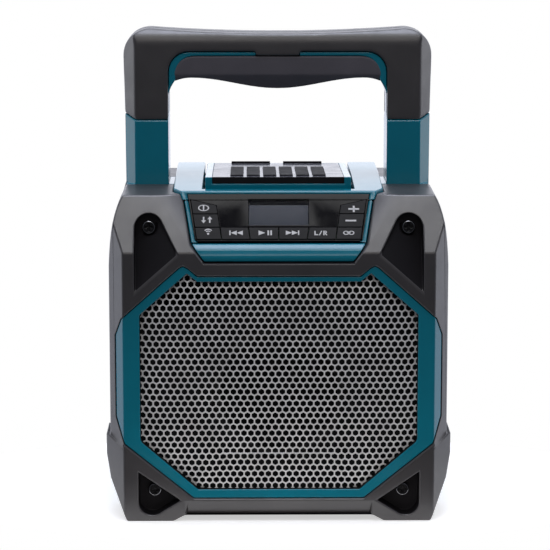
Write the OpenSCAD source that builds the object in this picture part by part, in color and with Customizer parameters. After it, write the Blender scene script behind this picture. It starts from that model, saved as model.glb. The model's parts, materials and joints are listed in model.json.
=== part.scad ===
// Portable jobsite speaker with a carrying handle and a battery door at the back.
// Millimetres. Front faces -Y, right is +X, up is +Z, origin under the middle of the body.

/* [Body] */
// Width over the lower corner guards
guard_w = 214; // [210:0.5:220]
// Width between the straight sides
side_w = 209; // [206:0.5:211]
// Depth over both bumpers
body_d = 180; // [176:1:200]
// Height of the flat top deck
deck_h = 206; // [205:0.5:210]
// Width of the flat top deck
deck_w = 130; // [126:0.5:131]
// Flat shoulders under the deck
shoulder_in = 5; // [4:0.25:6]
// Height of the handle at its corners
overall_h = 299; // [296:1:320]

/* [Bumpers] */
// Width of the side chamfer seen from the front
edge_run = 9; // [6:0.5:11]
// Depth of the side chamfer
edge_deep = 15; // [10:0.5:18]
// How far a bumper reaches back along the side
wrap = 45; // [42:0.5:52]
// Height of the pads that lean back
lean_h = 33; // [31:0.5:35]
// How far the lean takes the face back at the shoulder
pad_in = 20; // [18:0.5:22]
// How far the rear face leans forward at the shoulder
rear_pad_in = 26; // [22:0.5:28]
// Height of the part of the rear face that leans
rear_lean_h = 25; // [21:0.5:31]
// Height of the rounded shoulder
round_h = 43; // [37:1:51]
// Shoulder corner, distance in from the straight side
round_in = 8.5; // [6:0.5:10]
// Outer edge of a foot
foot_x = 94; // [92:0.5:96]
// Inner edge of a foot
foot_in = 68; // [64:0.5:70]
// Ground clearance between the feet
belly_z = 3.8; // [3:0.1:4.5]
// Width of the slope beside each foot
belly_run = 10; // [6:0.5:14]
// Top of a corner guard at the side
guard_z = 53; // [48:0.5:58]
// Drop of the guard's top edge toward the front
guard_drop = 7.5; // [4:0.5:10]
// Height where a guard starts to turn in to the foot
guard_low = 25; // [20:0.5:30]
// Thickness of the shoulder that reaches back to the handle legs
roof_t = 2.5; // [2:0.1:3]
// Bevel on the bar between the feet
bar_bevel = 4; // [1:0.5:6]

/* [Cabinet] */
// Width of the two cabinet shells
cab_w = 200; // [196:0.5:202]
// Bottom of the cabinet
cab_low = 8; // [7:0.25:9]
// Cabinet top under the trim strip
cab_under = 2; // [1.5:0.1:3]
// Cabinet wall
cab_wall = 3; // [2:0.25:4]
// Cabinet front edge behind the bumper face
cab_in = 14.5; // [13:0.25:16]
// Cabinet back face ahead of the rear bumper face
cab_back_in = 12; // [11:0.25:13]
// Where the lower corner starts on the bottom
cab_toe_x = 84; // [80:0.5:86]
// Where the lower corner ends on the side
cab_toe_z = 28; // [24:0.5:32]
// Plane where the two shells meet
split_y = 32; // [30:0.5:36]
// Seal between the shells
seal_t = 1; // [0.6:0.1:2]
// Baffle plate
baffle_t = 4; // [3:0.25:6]

/* [Grille frame] */
// Overall width
ring_w = 200.6; // [198:0.2:202]
// Bottom edge
ring_low = 14.6; // [13.5:0.1:16]
// Half length of the bottom edge
ring_low_x = 52.5; // [48:0.5:56]
// Lower knee
ring_knee = [95, 49];
// Lower end of the straight side band
ring_band_low = 65; // [60:0.5:70]
// Upper end of that band under the top edge
ring_band_drop = 37.4; // [34:0.2:40]
// Upper knee, distance from the middle
ring_brow_x = 96.4; // [95:0.2:98]
// Upper knee under the top edge
ring_brow_drop = 26.4; // [24:0.2:28]
// Peak beside the top edge, distance from the middle
ring_peak_x = 58.7; // [57:0.1:60]
// Peak above the top edge
ring_peak_up = 7; // [6:0.1:8]
// Bumper left between the top edge and the trim strip
ring_gap = 8.6; // [8:0.1:9.5]
// Half length of the top edge
ring_dip_x = 50; // [46:0.5:52]
// Inner width
ring_in_w = 170.6; // [166:0.2:172]
// Frame across the bottom
ring_sill = 5.4; // [4:0.1:6.5]
// Frame across the top
ring_lintel = 3.2; // [2.5:0.1:4]
// Inner lower knee height
ring_in_knee = 49.6; // [46:0.2:54]
// Inner upper knee under the top edge
ring_in_drop = 22.9; // [20:0.1:26]
// Inner peak, distance from the middle
ring_in_peak_x = 56.2; // [54:0.1:57]
// Inner peak above the top edge
ring_in_peak_up = 1.9; // [1:0.1:3]
// Frame face behind the bumper face
ring_in = 1; // [0.5:0.1:2]
// Ledge that carries the grille
ring_ledge = 3; // [2:0.25:4]
// Grille sheet
grille_t = 1; // [0.8:0.1:1.5]
// Grille face behind the frame face
grille_in = 1.5; // [1:0.25:3]
// Depth of the skirt around the grille
grille_dish = 5; // [3:0.25:6]
// Grille hole pitch
hole_pitch = 8.6; // [8:0.1:12]
// Grille hole diameter
hole_d = 6.2; // [4:0.1:6.8]

/* [Controls] */
// Height of the trim strip
strip_h = 10.75; // [10.25:0.25:12]
// Half width of the trim strip at its bottom
strip_low_x = 45.8; // [43:0.2:47]
// Height of the control face, from the trim strip to the deck
face_h = 33.25; // [32.5:0.25:34]
// Half width of the trim strip at its top
strip_top_x = 53.8; // [52.6:0.2:55]
// Trim strip nose behind the bumper face
strip_in = 2.5; // [1:0.25:4]
// Half width of the control face at the deck
face_top_x = 59.4; // [58.6:0.2:61]
// Control face behind the bumper face at its bottom
face_low_in = 9.35; // [9:0.05:10.5]
// Control face behind the bumper face at the deck
face_top_in = 27.5; // [27:0.25:28.5]
// Fall of the deck toward the control face
deck_fall = 3.45; // [3:0.05:4]
// Where the deck starts to fall, behind the middle
deck_fold = 4.5; // [0:0.5:10]
// Depth of the deck's cut front corners
deck_cut = 12; // [8:0.5:14]
// Pad inner edge at the shoulder
pad_edge_x = 74; // [72:0.5:76]
// Fascia bottom on the control face
fascia_v = 1.3; // [1.1:0.1:1.8]
// Fascia height
fascia_h = 31.5; // [30.8:0.1:31.8]
// Housing left beside the fascia at its bottom
fascia_side_low = 2.6; // [2:0.1:3]
// Housing left beside the fascia at its top
fascia_side_top = 3; // [2.4:0.1:3.5]
// Fascia lower corner radius
fascia_r = 2.2; // [1:0.1:2.6]
// Fascia thickness
fascia_t = 4; // [3:0.1:4.4]
// Rim left around the keys
fascia_rim = 1; // [0.9:0.1:1.4]
// Height of the lower row of keys
row_a = 8.1; // [7.6:0.1:8.3]
// Height of the middle row of keys
row_b = 8.9; // [8.4:0.1:9.2]
// Inner height of the top keys
row_c = 5.8; // [5:0.1:6.4]
// Rise of the top keys toward the side
row_rise = 4; // [2:0.2:4.6]
// Width of a key in the lower row
key_w = 17.45; // [17:0.05:17.8]
// Lean of the outer columns' inner edge
key_lean = 0.14; // [0:0.005:0.15]
// How far a key stands out of the fascia
key_out = 0.5; // [0.3:0.1:1]
// How far a key reaches behind the fascia
key_back = 0.2; // [0.1:0.05:0.4]
// Key travel
key_travel = 0.7; // [0.4:0.05:0.8]
// Display window width
window_w = 37; // [34:0.2:38]
// Display window height
window_h = 17.1; // [16:0.1:17.6]
// Display window above the lower row of keys
window_up = 1.7; // [1:0.1:2.4]
// Display window thickness
window_t = 1.5; // [1:0.1:2]
// Key board thickness
board_t = 1.6; // [1:0.1:2]
// Posts between the fascia and the key board
post_l = 3; // [2.8:0.1:3.4]
// Diameter of those posts
post_d = 4; // [3:0.25:5]
// Posts, distance from the middle
post_x = 27; // [24:0.5:30]
// Posts, first height on the face
post_low = 13.8; // [13.4:0.1:15]
// Posts, second height on the face
post_high = 23; // [20:0.5:24]
// Key board, top edge on the face
key_board_v = 27; // [25:0.5:28]
// Key board edge inside the fascia edge
key_board_in = 4.5; // [3:0.25:6]
// Key board bottom above the fascia bottom
key_board_up = 2.1; // [1.8:0.1:2.3]
// Key switch height
switch_h = 1.8; // [1.4:0.1:1.9]
// Key switch width
switch_w = 5.2; // [4:0.1:6]

/* [Handle] */
// Width over the legs at the top
handle_w = 195; // [192:0.5:196]
// Width over the legs at the shoulder
handle_low_w = 191; // [188:0.5:192]
// Width between the legs
handle_in_w = 138; // [136:0.5:140]
// Depth of the handle
handle_d = 36; // [32:0.5:40]
// Outer corner radius
handle_r = 17; // [14:0.5:20]
// Dip of the top edge in the middle
handle_dip = 3.2; // [1:0.2:4]
// Height of the bar above the hand gap
bar_h = 14.25; // [14:0.25:15.5]
// Inner corner radius of the covers
bar_r = 13; // [10:0.5:14]
// Teal edge that shows below the covers
core_show = 2.7; // [2:0.1:3]
// Drop of the core's inner corner down the leg
core_drop = 25.5; // [23:0.5:28]
// Where the inner corner of the core ends on the bar
core_bar_x = 51; // [48:0.5:54]
// Inner corner of the core, distance from the middle
core_toe_x = 64.4; // [63:0.2:66]
// Inner corner of the core under the bar
core_toe_drop = 15; // [12:0.5:17]
// Front of the teal edge behind the covers' front
core_lip_in = 1.2; // [1:0.1:3]
// Core thickness inside the covers
core_t = 14; // [10:0.5:16]
// Cover wall over the core
cover_t = 4; // [3:0.25:5]
// Length of the covers down the legs
cover_l = 43.7; // [38:0.1:46]
// Rise of that edge toward the side
cover_rise = 4.5; // [2:0.25:6]
// Chamfer along the legs, across
leg_bevel_x = 7.6; // [6:0.2:9]
// Chamfer along the legs, in depth
leg_bevel_y = 9; // [6:0.5:10]
// Chamfer along the top, in height
top_bevel_z = 4.4; // [2:0.2:6]
// Radius where that chamfer turns the corner
bevel_r = 11; // [8:0.5:13]
// Height of the lean below that chamfer
brow_h = 6.5; // [4:0.5:8]
// Depth of that lean
brow_in = 1.6; // [0.8:0.1:2]
// Half length of the tab that covers the teal edge
tab_x = 13.5; // [10:0.5:20]
// Highest point under the grip pad, distance from the middle
grip_x = 53.5; // [50:0.5:56]
// Drop of the grip pad's ends below that point
grip_toe = 2.4; // [0.5:0.1:4]
// Thickness of the grip pad in the middle
grip_t = 20.9; // [18:0.1:23]
// Rise of the grip pad toward its ends
grip_rise = 7; // [3:0.2:7.4]
// Depth of the grip pad
grip_d = 34; // [28:0.5:34.5]
// Screws of the bar, distance from the middle
bar_screw_x = 34; // [25:0.5:50]

/* [Battery door] */
// Slot in the deck
slot_w = 94; // [93:0.5:95]
// Front end of the finger slot
slot_front = -55.5; // [-56:0.25:-54]
// Depth of the slot under the deck
slot_deep = 10; // [9.5:0.1:10.5]
// Wall around the slot
slot_wall = 2.5; // [2:0.1:2.6]
// Lever width
lever_w = 91; // [88:0.5:92]
// Lever front end
lever_front = -46; // [-47:0.25:-44]
// Lever top above the deck at the front
lever_rise = 3; // [2:0.25:4]
// Lever top under the deck at the back
lever_fall = 1; // [0.5:0.1:1.5]
// Lever plate
lever_t = 4.5; // [4:0.1:5]
// Lever front lip below its plate
lever_lip = 4; // [3:0.25:5]
// Lever pin position behind the middle
lever_pin_y = 60; // [58:0.5:62]
// Lever pin under the deck
lever_pin_in = 6; // [5.5:0.1:6.5]
// Pin diameter, lever and door
pin_d = 3; // [2:0.1:3.4]
// Knuckle diameter, lever and door
knuckle_d = 7; // [6:0.1:7.2]
// Rubber insert in the lever
insert_w = 82; // [78:0.5:84]
// Insert thickness
insert_t = 1.5; // [1:0.1:2]
// Insert depth over the lever's nose
insert_lip = 4; // [3:0.25:4.5]
// Ribbed pads on the insert
pad_n = 6;
// Pad pitch
pad_pitch = 10.3; // [9:0.1:11]
// Pad width
pad_w = 8.2; // [6:0.1:8.6]
// Pad height
pad_h = 1; // [0.6:0.1:1.4]
// Pad length
pad_l = 58; // [50:1:62]
// Ribs across one pad
pad_ribs = 14; // [6:1:18]
// Door width
door_w = 92; // [90:0.5:92.5]
// Door plate
door_t = 4; // [3:0.25:5]
// Door outer face ahead of the rear bumper face
door_in = 4; // [3:0.25:5]
// Bottom of the door
door_low = 24; // [23:0.25:25]
// Door pin height
door_pin_z = 18.5; // [18:0.1:19]
// Height of the part of the door that leans forward
door_lean_h = 21; // [19:0.5:25]
// Opening of the rear bumper below the door
door_gap_low = 12.5; // [12:0.1:13]

/* [Battery] */
// Pack width
pack_w = 75; // [70:1:76]
// Pack depth
pack_d = 48; // [40:1:50]
// Room above the bay inside the cabinet
bay_head = 8.4; // [6:0.1:12]
// Room around the pack
pack_gap = 0.8; // [0.5:0.1:1]
// Bay wall
bay_wall = 2.5; // [2:0.25:3]
// Bay floor
bay_low = 30; // [28:0.5:34]
// Terminal block height
term_h = 44; // [30:1:60]
// Terminal block depth
term_d = 9; // [6:0.5:10]
// Terminal block width
term_w = 36; // [30:1:44]
// Terminal block above the bay floor
term_up = 14; // [8:1:30]
// Terminal blade spacing
blade_pitch = 10; // [8:0.5:12]
// Main board width
main_w = 116; // [106:1:124]
// Main board height
main_h = 90; // [84:1:96]
// Main board above the bay's underside
main_up = 6; // [4:0.5:8]
// Heat sink width
sink_w = 22; // [16:1:26]
// Heat sink height
sink_h = 24; // [16:1:26]
// Heat sink depth
sink_d = 9; // [6:0.5:10]
// Board posts, distance from the middle
bay_post_x = 50; // [48:0.5:52]
// Board posts, distance in from the board's ends
bay_post_in = 6; // [5:0.5:8]

/* [Drivers] */
// Woofer centre under the middle of the grille frame
woofer_drop = 5; // [3:0.5:7]
// Frame height left over above and below the woofer
woofer_room = 36.8; // [35:0.2:42]
// Woofer flange on the baffle
woofer_lip = 6; // [5:0.25:8]
// Width of the woofer's frame and surround
woofer_edge = 15; // [13:0.5:18]
// Cone depth
cone_h = 17; // [14:0.5:20]
// Voice coil diameter
coil_d = 26; // [22:0.5:30]
// Magnet diameter
magnet_d = 72; // [60:1:80]
// Magnet thickness
magnet_t = 16; // [12:0.5:18]
// Basket depth
basket_h = 34; // [30:0.5:36]
// Cone travel each way
cone_travel = 2.5; // [1:0.25:3]
// Tweeter centre across
tweeter_x = 60; // [58:0.5:61]
// Tweeter centre under the frame's top edge
tweeter_drop = 34.4; // [32:0.2:36]
// Tweeter frame diameter
tweeter_d = 38; // [34:0.5:40]
// Tweeter dome diameter
dome_d = 20; // [16:0.5:24]
// Tweeter body behind the baffle face
tweeter_h = 8; // [6:0.5:10]
// Tweeter magnet thickness
tweeter_m = 7.9; // [5:0.1:10]
// Dome foot behind the tweeter face
dome_in = 5.5; // [5:0.1:6]
// Voice coil inside the magnet
coil_in = 7; // [5:0.5:8]
// Driver screw diameter
dscrew_d = 3; // [2.5:0.1:3.5]

/* [Sockets] */
// Flap length along the side
flap_l = 48; // [46:0.5:52]
// Flap height
flap_h = 30; // [28:0.5:34]
// Flap thickness
flap_t = 2.4; // [2:0.1:3]
// Height of the flap pin
flap_z = 96; // [90:0.5:110]
// Flap pin diameter
flap_pin_d = 1.6; // [1.2:0.1:2]
// Flap knuckle diameter
flap_knuckle_d = 4; // [3.6:0.1:4.2]
// Socket depth behind the wall
socket_l = 12; // [10:0.5:14]
// Power inlet diameter
dc_d = 8; // [7:0.25:9]
// Audio socket diameter
audio_d = 6.4; // [6:0.1:8]
// Usb socket width
usb_w = 13.2; // [12.5:0.1:14]
// Usb socket height
usb_h = 5.8; // [5.4:0.1:7]
// Distance between sockets
socket_pitch = 15; // [14:0.5:16]

/* [Screws] */
// Bumper screw head diameter
head_d = 8; // [7:0.25:9]
// Bumper screw head height
head_h = 3; // [2:0.25:3.5]
// Bumper screw shank diameter
shank_d = 3.8; // [3:0.1:4.4]
// Boss around a screw
boss_d = 9; // [8:0.25:10]
// Upper screws, distance from the middle
screw_up_x = 79.6; // [78:0.1:81]
// Upper screws under the shoulder
screw_up_drop = 19; // [18:0.1:20]
// Length of an upper screw
screw_up_l = 20; // [16:0.5:24]
// Length of a lower screw
screw_low_l = 16; // [12:0.5:18]
// Lower screws
screw_low = [76.9, 18.2];
// Seat of the upper screws behind the bumper face
seat_up = 16.5; // [15.5:0.25:17.5]
// Seat of the lower screws behind the bumper face
seat_low = 11; // [9:0.25:11.5]
// Seat of the lower rear screws ahead of the rear bumper face
rear_seat_low = 8; // [6:0.25:8.5]
// Radius of the upper screw pocket
pocket_r = 8.6; // [7:0.2:9]
// Foot of the upper pocket, inner end from the middle
pocket_in_x = 61.5; // [60:0.5:63]
// Foot of the upper pocket, inner end under the shoulder
pocket_in_drop = 34.5; // [33:0.5:36]
// Foot of the upper pocket, outer end under the shoulder
pocket_out_drop = 58; // [56:0.5:60]
// Radius of the lower pocket
pocket_low_r = 8.4; // [7:0.2:8.6]
// Middle of the lower pocket's round end
pocket_low_c = [78.2, 12.4];
// Top of the lower pocket at its outer wall
pocket_low_z = 31; // [28:0.5:33]
// Inner corner of the lower pocket
pocket_low_in = [61, 13.2];

/* [Clearances] */
// Between neighbouring pieces
fit = 0.3; // [0.2:0.05:0.4]
// Around each key
key_gap = 0.25; // [0.2:0.05:0.4]
// Around pins and shanks
run = 0.1; // [0.05:0.01:0.15]

/* [Hidden] */
$fn = 48;
big = 400;
shoulder_h = deck_h - shoulder_in;
crease_z = shoulder_h - lean_h;
rear_crease_z = shoulder_h - rear_lean_h;
round_z = shoulder_h - round_h;
strip_top = deck_h - face_h;
strip_low = strip_top - strip_h;
cab_top = strip_low - cab_under;
ring_top = strip_low - ring_gap;
ring_band = [ring_band_low, ring_top - ring_band_drop];
ring_brow = [ring_brow_x, ring_top - ring_brow_drop];
ring_peak = [ring_peak_x, ring_top + ring_peak_up];
ring_in_brow = ring_top - ring_in_drop;
ring_in_peak = [ring_in_peak_x, ring_top + ring_in_peak_up];
screw_up = [screw_up_x, shoulder_h - screw_up_drop];
pocket_in = [pocket_in_x, shoulder_h - pocket_in_drop];
pocket_out_z = shoulder_h - pocket_out_drop;
door_crease_z = shoulder_h - door_lean_h;
woofer_z = (ring_low + ring_top) / 2 - woofer_drop;
woofer_d = ring_top - ring_low - woofer_room;
woofer_hole = woofer_d - 2 * woofer_lip;
cone_d = woofer_d - 2 * woofer_edge;
tweeter_z = ring_top - tweeter_drop;
yf = -body_d / 2;
yr = body_d / 2;
xs = side_w / 2;
xg = guard_w / 2;
cab_y = yf + cab_in;
cab_back = yr - cab_back_in;
cab_x = cab_w / 2;
deck_x = deck_w / 2;
face_y = yf + face_low_in;
deck_front = yf + face_top_in;
face_top = deck_h - deck_fall;
deck_edge = deck_front - 3;
lean = atan((face_top_in - face_low_in) / (face_top - strip_top));
face_l = (face_top - strip_top) / cos(lean);
fascia_low_x = strip_top_x + (face_top_x - strip_top_x) * fascia_v / face_l - fascia_side_low;
fascia_top_x = strip_top_x + (face_top_x - strip_top_x) * (fascia_v + fascia_h) / face_l - fascia_side_top;
plan_x = xs - edge_run;
ring_y = yf + ring_in;
grille_y = ring_y + grille_in;
grille_back = grille_y + grille_dish;
ring_back = cab_y - fit;
baffle_back = cab_y + baffle_t;
floor_up = yf + seat_up;
floor_low = yf + seat_low;
rear_floor_low = yf + rear_seat_low;
hollow_y = floor_up + 5.5;
hollow_x0 = deck_x + fit + 2.4;
hollow_x1 = xs - 9.5;
hollow_top = shoulder_h - 8;
block_y = -yf - wrap - fit;
hand_x = handle_in_w / 2;
core_y = core_t / 2;
hy = handle_d / 2;
bar_z = overall_h - bar_h;
core_z = bar_z - core_show;
core_low_z = core_z - core_drop;
core_toe = [core_toe_x, core_z - core_toe_drop];
cover_z = bar_z - cover_l;
grip_low = core_z - grip_t;
bar_screw_z = overall_h - 9.4;
top_crease = overall_h - handle_dip - top_bevel_z + 3;
bevel_c = [handle_w / 2 - leg_bevel_x - bevel_r, top_crease - bevel_r];
leg_screw_x = handle_w / 2 - 14;
leg_screw_z = cover_z + 20;
cover_seat = hy - 6;
wall_x = cab_x - cab_wall;
flap_x = cab_x + fit;
flap_pin_x = flap_x + (flap_knuckle_d - 0.6) / 2;
slot_x = slot_w / 2;
slot_z = deck_h - slot_deep;
lever_front_z = deck_h + lever_rise;
lever_back_z = deck_h - lever_fall;
lever_pin_z = deck_h - lever_pin_in;
lever_x = lever_w / 2;
lever_slope = (lever_front_z - lever_back_z) / (lever_pin_y - lever_front);
lever_tilt = atan(lever_slope);
door_x = door_w / 2;
door_y = yr - door_in;
door_pin_y = door_y - knuckle_d / 2 + 0.5;
bay_x = pack_w / 2 + pack_gap + bay_wall;
bay_top = cab_top - cab_wall - bay_head - bay_wall;
pack_h = bay_top - bay_low - bay_wall - 2 * pack_gap;
pack_back = cab_back - pack_gap;
pack_front = pack_back - pack_d;
bay_front = pack_front - term_d - pack_gap - bay_wall;
board_y = bay_front - 8;
main_low = bay_low + main_up;
woofer_y = cab_y - 3.6;
key_v0 = fascia_v + fascia_rim;
key_v1 = key_v0 + row_a;
key_v2 = key_v1 + row_b;
key_v3 = key_v2 + row_c;
key_v4 = key_v3 + row_rise;
key_x0 = 2 * key_w;
window_v = key_v1 + window_up;
board_w = fascia_t + post_l;

// Colours
dark = [0.20, 0.21, 0.22];
teal = [0.05, 0.40, 0.45];
black = [0.05, 0.05, 0.06];
steel = [0.62, 0.63, 0.64];
green = [0.10, 0.35, 0.20];

// Plane geometry
function across(p) = concat(p, [for (i = [len(p) - 1:-1:0]) [-p[i][0], p[i][1]]]);
function out_of(a, b) = [b[1] - a[1], a[0] - b[0]] / norm(b - a);
function meet(p, d, q, e) = p + d * ((q[0] - p[0]) * e[1] - (q[1] - p[1]) * e[0]) / (d[0] * e[1] - d[1] * e[0]);
function grown(p, g) = [for (i = [0:len(p) - 1])
  let (a = p[(i + len(p) - 1) % len(p)], b = p[i], c = p[(i + 1) % len(p)])
  meet(a + out_of(a, b) * g, b - a, c + out_of(b, c) * g, c - b)];
function curve(a, b, c, n) = [for (i = [0:n]) let (t = i / n)
  (1 - t) * (1 - t) * a + 2 * t * (1 - t) * b + t * t * c];
function arc(c, r, a0, a1, n) = [for (i = [0:n]) let (t = a0 + (a1 - a0) * i / n)
  c + r * [cos(t), sin(t)]];

// Outline in XZ carried from y0 to y1
module slab(y0, y1) {
  translate([0, y1, 0]) rotate([90, 0, 0]) linear_extrude(y1 - y0) children();
}

// Outline in YZ carried from x0 to x1
module span(x0, x1) {
  translate([x0, 0, 0]) rotate([90, 0, 90]) linear_extrude(x1 - x0) children();
}

// Box from corner to corner
module box(a, b) {
  translate(a) cube(b - a);
}

// Everything on one side of a plane
module beyond(p, n) {
  translate(p) rotate([0, acos(n[2] / norm(n)), atan2(n[1], n[0])])
    translate([-big, -big, 0]) cube([2 * big, 2 * big, big]);
}

// Both sides of the middle plane
module twin() {
  children();
  mirror([1, 0, 0]) children();
}

// Rod along Y and rod along X
module rod_y(x, z, y0, y1, d) {
  translate([x, y1, z]) rotate([90, 0, 0]) cylinder(h = y1 - y0, d = d);
}

module rod_x(y, z, x0, x1, d) {
  translate([x0, y, z]) rotate([0, 90, 0]) cylinder(h = x1 - x0, d = d);
}

// Turned piece whose axis runs back from a point on the front
module turned(x, y, z) {
  translate([x, y, z]) rotate([-90, 0, 0]) rotate_extrude() children();
}

// Control face: X across, Z up the slope, Y inward
module on_face() {
  translate([0, face_y, strip_top]) rotate([-lean, 0, 0]) children();
}

// Outlines seen from the front
function side_line() = across(concat([[foot_x, 0], [xs - 1, guard_low], [xs, guard_z]],
  curve([xs, round_z], [xs - 1.3, shoulder_h - 11], [xs - round_in, shoulder_h], 8)));
function guard_line() = [[foot_in, 0], [foot_x, 0], [xg - 2.6, guard_low], [xg, guard_low + 15],
  [xg, guard_z], [plan_x, guard_z - guard_drop], [foot_in, guard_z - guard_drop]];
function cab_line() = across([[cab_toe_x, cab_low], [cab_x, cab_toe_z], [cab_x, cab_top]]);
function ring_line() = across([[ring_low_x, ring_low], ring_knee, [ring_w / 2, ring_band[0]],
  [ring_w / 2, ring_band[1]], ring_brow, ring_peak + [2.6, -2.2], ring_peak + [0, -0.6],
  ring_peak + [-2.8, -2], [ring_dip_x, ring_top]]);
function ring_hole() = across([[ring_low_x - 2.5, ring_low + ring_sill],
  [ring_in_w / 2 - 1, ring_in_knee], [ring_in_w / 2, ring_in_knee + 2],
  [ring_in_w / 2, ring_in_brow - 1], ring_in_peak, [ring_dip_x, ring_top - ring_lintel]]);
function notch_line() = across([[strip_low_x, strip_low], [strip_top_x, strip_top],
  [face_top_x, face_top], [face_top_x, deck_h + 20]]);
function foot_gap() = across([[foot_in - 1, -1], [foot_in - belly_run, belly_z]]);

// One bumper's outer form, front face at yf
module bumper_form(back, top_in, crease) {
  intersection() {
    union() {
      intersection() {
        slab(yf, back) polygon(side_line());
        linear_extrude(big) polygon([[-plan_x, yf], [plan_x, yf], [xs, yf + edge_deep],
          [xs, 0], [-xs, 0], [-xs, yf + edge_deep]]);
      }
      twin() intersection() {
        slab(yf, back) polygon(guard_line());
        linear_extrude(big) polygon([[0, yf], [plan_x, yf], [xg, yf + edge_deep], [xg, 0], [0, 0]]);
      }
    }
    span(-big, big) polygon([[yf, -1], [0, -1], [0, shoulder_h], [yf + top_in, shoulder_h],
      [yf, crease]]);
  }
}

// Room inside a bumper for the cabinet, the hollow shoulders and the feet gap
module bumper_room(back, seat) {
  slab(seat - fit, back + 1) polygon(grown(cab_line(), fit));
  twin() box([hollow_x0, hollow_y, cab_top - 1], [hollow_x1, back + 1, hollow_top]);
  slab(yf - 1, back + 1) polygon(foot_gap());
}

// Shoulders carried back to the handle legs
module bumper_roof(back) {
  twin() slab(back - 1, -hy - fit) intersection() {
    polygon(side_line());
    translate([deck_x + fit, shoulder_h - roof_t]) square([big, roof_t]);
  }
}

// Screw positions, four to a bumper
module at_screws(low) {
  for (s = [-1, 1]) {
    translate([s * screw_up[0], floor_up, screw_up[1]]) children(0);
    translate([s * screw_low[0], low, screw_low[1]]) children(1);
  }
}

// Screw with a cross recess, head toward the front
module screw(len) {
  difference() {
    union() {
      translate([0, 0, 0]) rotate([90, 0, 0]) cylinder(h = head_h, d = head_d);
      translate([0, len, 0]) rotate([90, 0, 0]) cylinder(h = len + 0.5, d = shank_d);
    }
    for (a = [0, 90]) rotate([0, a, 0])
      translate([-head_d * 0.31, -head_h - 1, -0.6]) cube([head_d * 0.62, 2.2, 1.2]);
  }
}

module upper_pocket() {
  px = screw_up[0] + pocket_r;
  t = [screw_up[0], screw_up[1]] + pocket_r * [-0.848, 0.53];
  p1 = [pocket_in[0], yf, pocket_in[1]];
  p2 = [px, yf, pocket_out_z];
  p3 = [screw_up[0], floor_up, screw_up[1]];
  intersection() {
    slab(yf - 5, hollow_y - 2) {
      translate([screw_up[0], screw_up[1]]) circle(pocket_r);
      polygon([t, pocket_in, [px, pocket_out_z], [px, screw_up[1]], [screw_up[0], screw_up[1]]]);
    }
    beyond(p1, cross(p2 - p1, p3 - p1));
    box([0, yf - 5, 0], [big, floor_up, big]);
  }
  rod_y(screw_up[0], screw_up[1], yf - 5, floor_up, head_d + 2.4);
}

module lower_pocket() {
  c = pocket_low_c;
  r = pocket_low_r;
  slab(yf - 5, floor_low) {
    translate(c) circle(r);
    polygon([c + [r, 0], [c[0] + r, pocket_low_z], pocket_low_in, c + r * [-0.43, -0.9]]);
  }
}

module front_bumper() {
  back = yf + wrap;
  slope = pad_in / (shoulder_h - crease_z);
  a = [strip_top_x, yf + (strip_top - crease_z) * slope, strip_top];
  b = [pad_edge_x, yf + pad_in, shoulder_h];
  top_x = strip_top_x + (face_top_x - strip_top_x) * (shoulder_h - strip_top) / (face_top - strip_top);
  c = [top_x, face_y + (shoulder_h - strip_top) * tan(lean), shoulder_h];
  color(dark) difference() {
    union() {
      bumper_form(back, pad_in, crease_z);
      bumper_roof(back);
    }
    bumper_room(back, cab_y);
    slab(yf - 1, cab_y + 1) polygon(grown(ring_line(), fit));
    slab(yf - 1, back + 1) polygon(grown(notch_line(), fit));
    translate([0, 0, cab_top]) linear_extrude(big) polygon(grown(deck_plan(), fit));
    twin() intersection() {
      beyond(a, cross(b - a, c - a));
      box([strip_low_x, yf - 5, strip_low], [pad_edge_x + 5, back, big]);
    }
    twin() upper_pocket();
    twin() lower_pocket();
    at_screws(floor_low) {
      rod_y(0, 0, -1, screw_up_l, shank_d + 2 * fit);
      rod_y(0, 0, -1, screw_up_l, shank_d + 2 * fit);
    }
    span(-foot_in + belly_run + 1, foot_in - belly_run - 1)
      polygon([[yf - 1, belly_z - 1], [yf + bar_bevel, belly_z - 1], [yf, ring_low - 2], [yf - 1, ring_low - 2]]);
  }
}

module rear_bumper() {
  back = yf + wrap;
  color(dark) mirror([0, 1, 0]) difference() {
    union() {
      bumper_form(back, rear_pad_in, rear_crease_z);
      bumper_roof(back);
    }
    bumper_room(back, -cab_back);
    box([-deck_x - fit, -cab_back - fit, cab_top], [deck_x + fit, back + 1, big]);
    box([-door_x - 2 * fit, yf - 1, door_gap_low], [door_x + 2 * fit, back + 1, big]);
    at_screws(rear_floor_low) {
      rod_y(0, 0, -30, 0, head_d + 4);
      rod_y(0, 0, -30, 0, head_d + 4);
    }
    at_screws(rear_floor_low) {
      rod_y(0, 0, -1, screw_up_l, shank_d + 2 * fit);
      rod_y(0, 0, -1, screw_up_l, shank_d + 2 * fit);
    }
    twin() box([door_x + 6, yf + 4, cab_toe_z + 8], [plan_x - 6, -cab_back + 1, cab_top - 8]);
    for (i = [0:4]) twin() box([door_x + 13, yf - 1, 52 + i * 20], [plan_x - 11, yf + 1.5, 58 + i * 20]);
  }
}

module screws_of(low) {
  at_screws(low) {
    screw(screw_up_l);
    screw(screw_low_l);
  }
}

module front_screws() {
  color(black) screws_of(floor_low);
}

module rear_screws() {
  color(black) mirror([0, 1, 0]) screws_of(rear_floor_low);
}

module grille_frame() {
  color(teal) difference() {
    intersection() {
      slab(ring_y, ring_back) polygon(ring_line());
      translate([0, ring_in, 0]) bumper_form(yf + wrap, pad_in, crease_z);
    }
    slab(yf - 1, grille_back) polygon(ring_hole());
    slab(yf - 1, ring_back + 1) polygon(grown(ring_hole(), -ring_ledge));
  }
}

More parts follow.
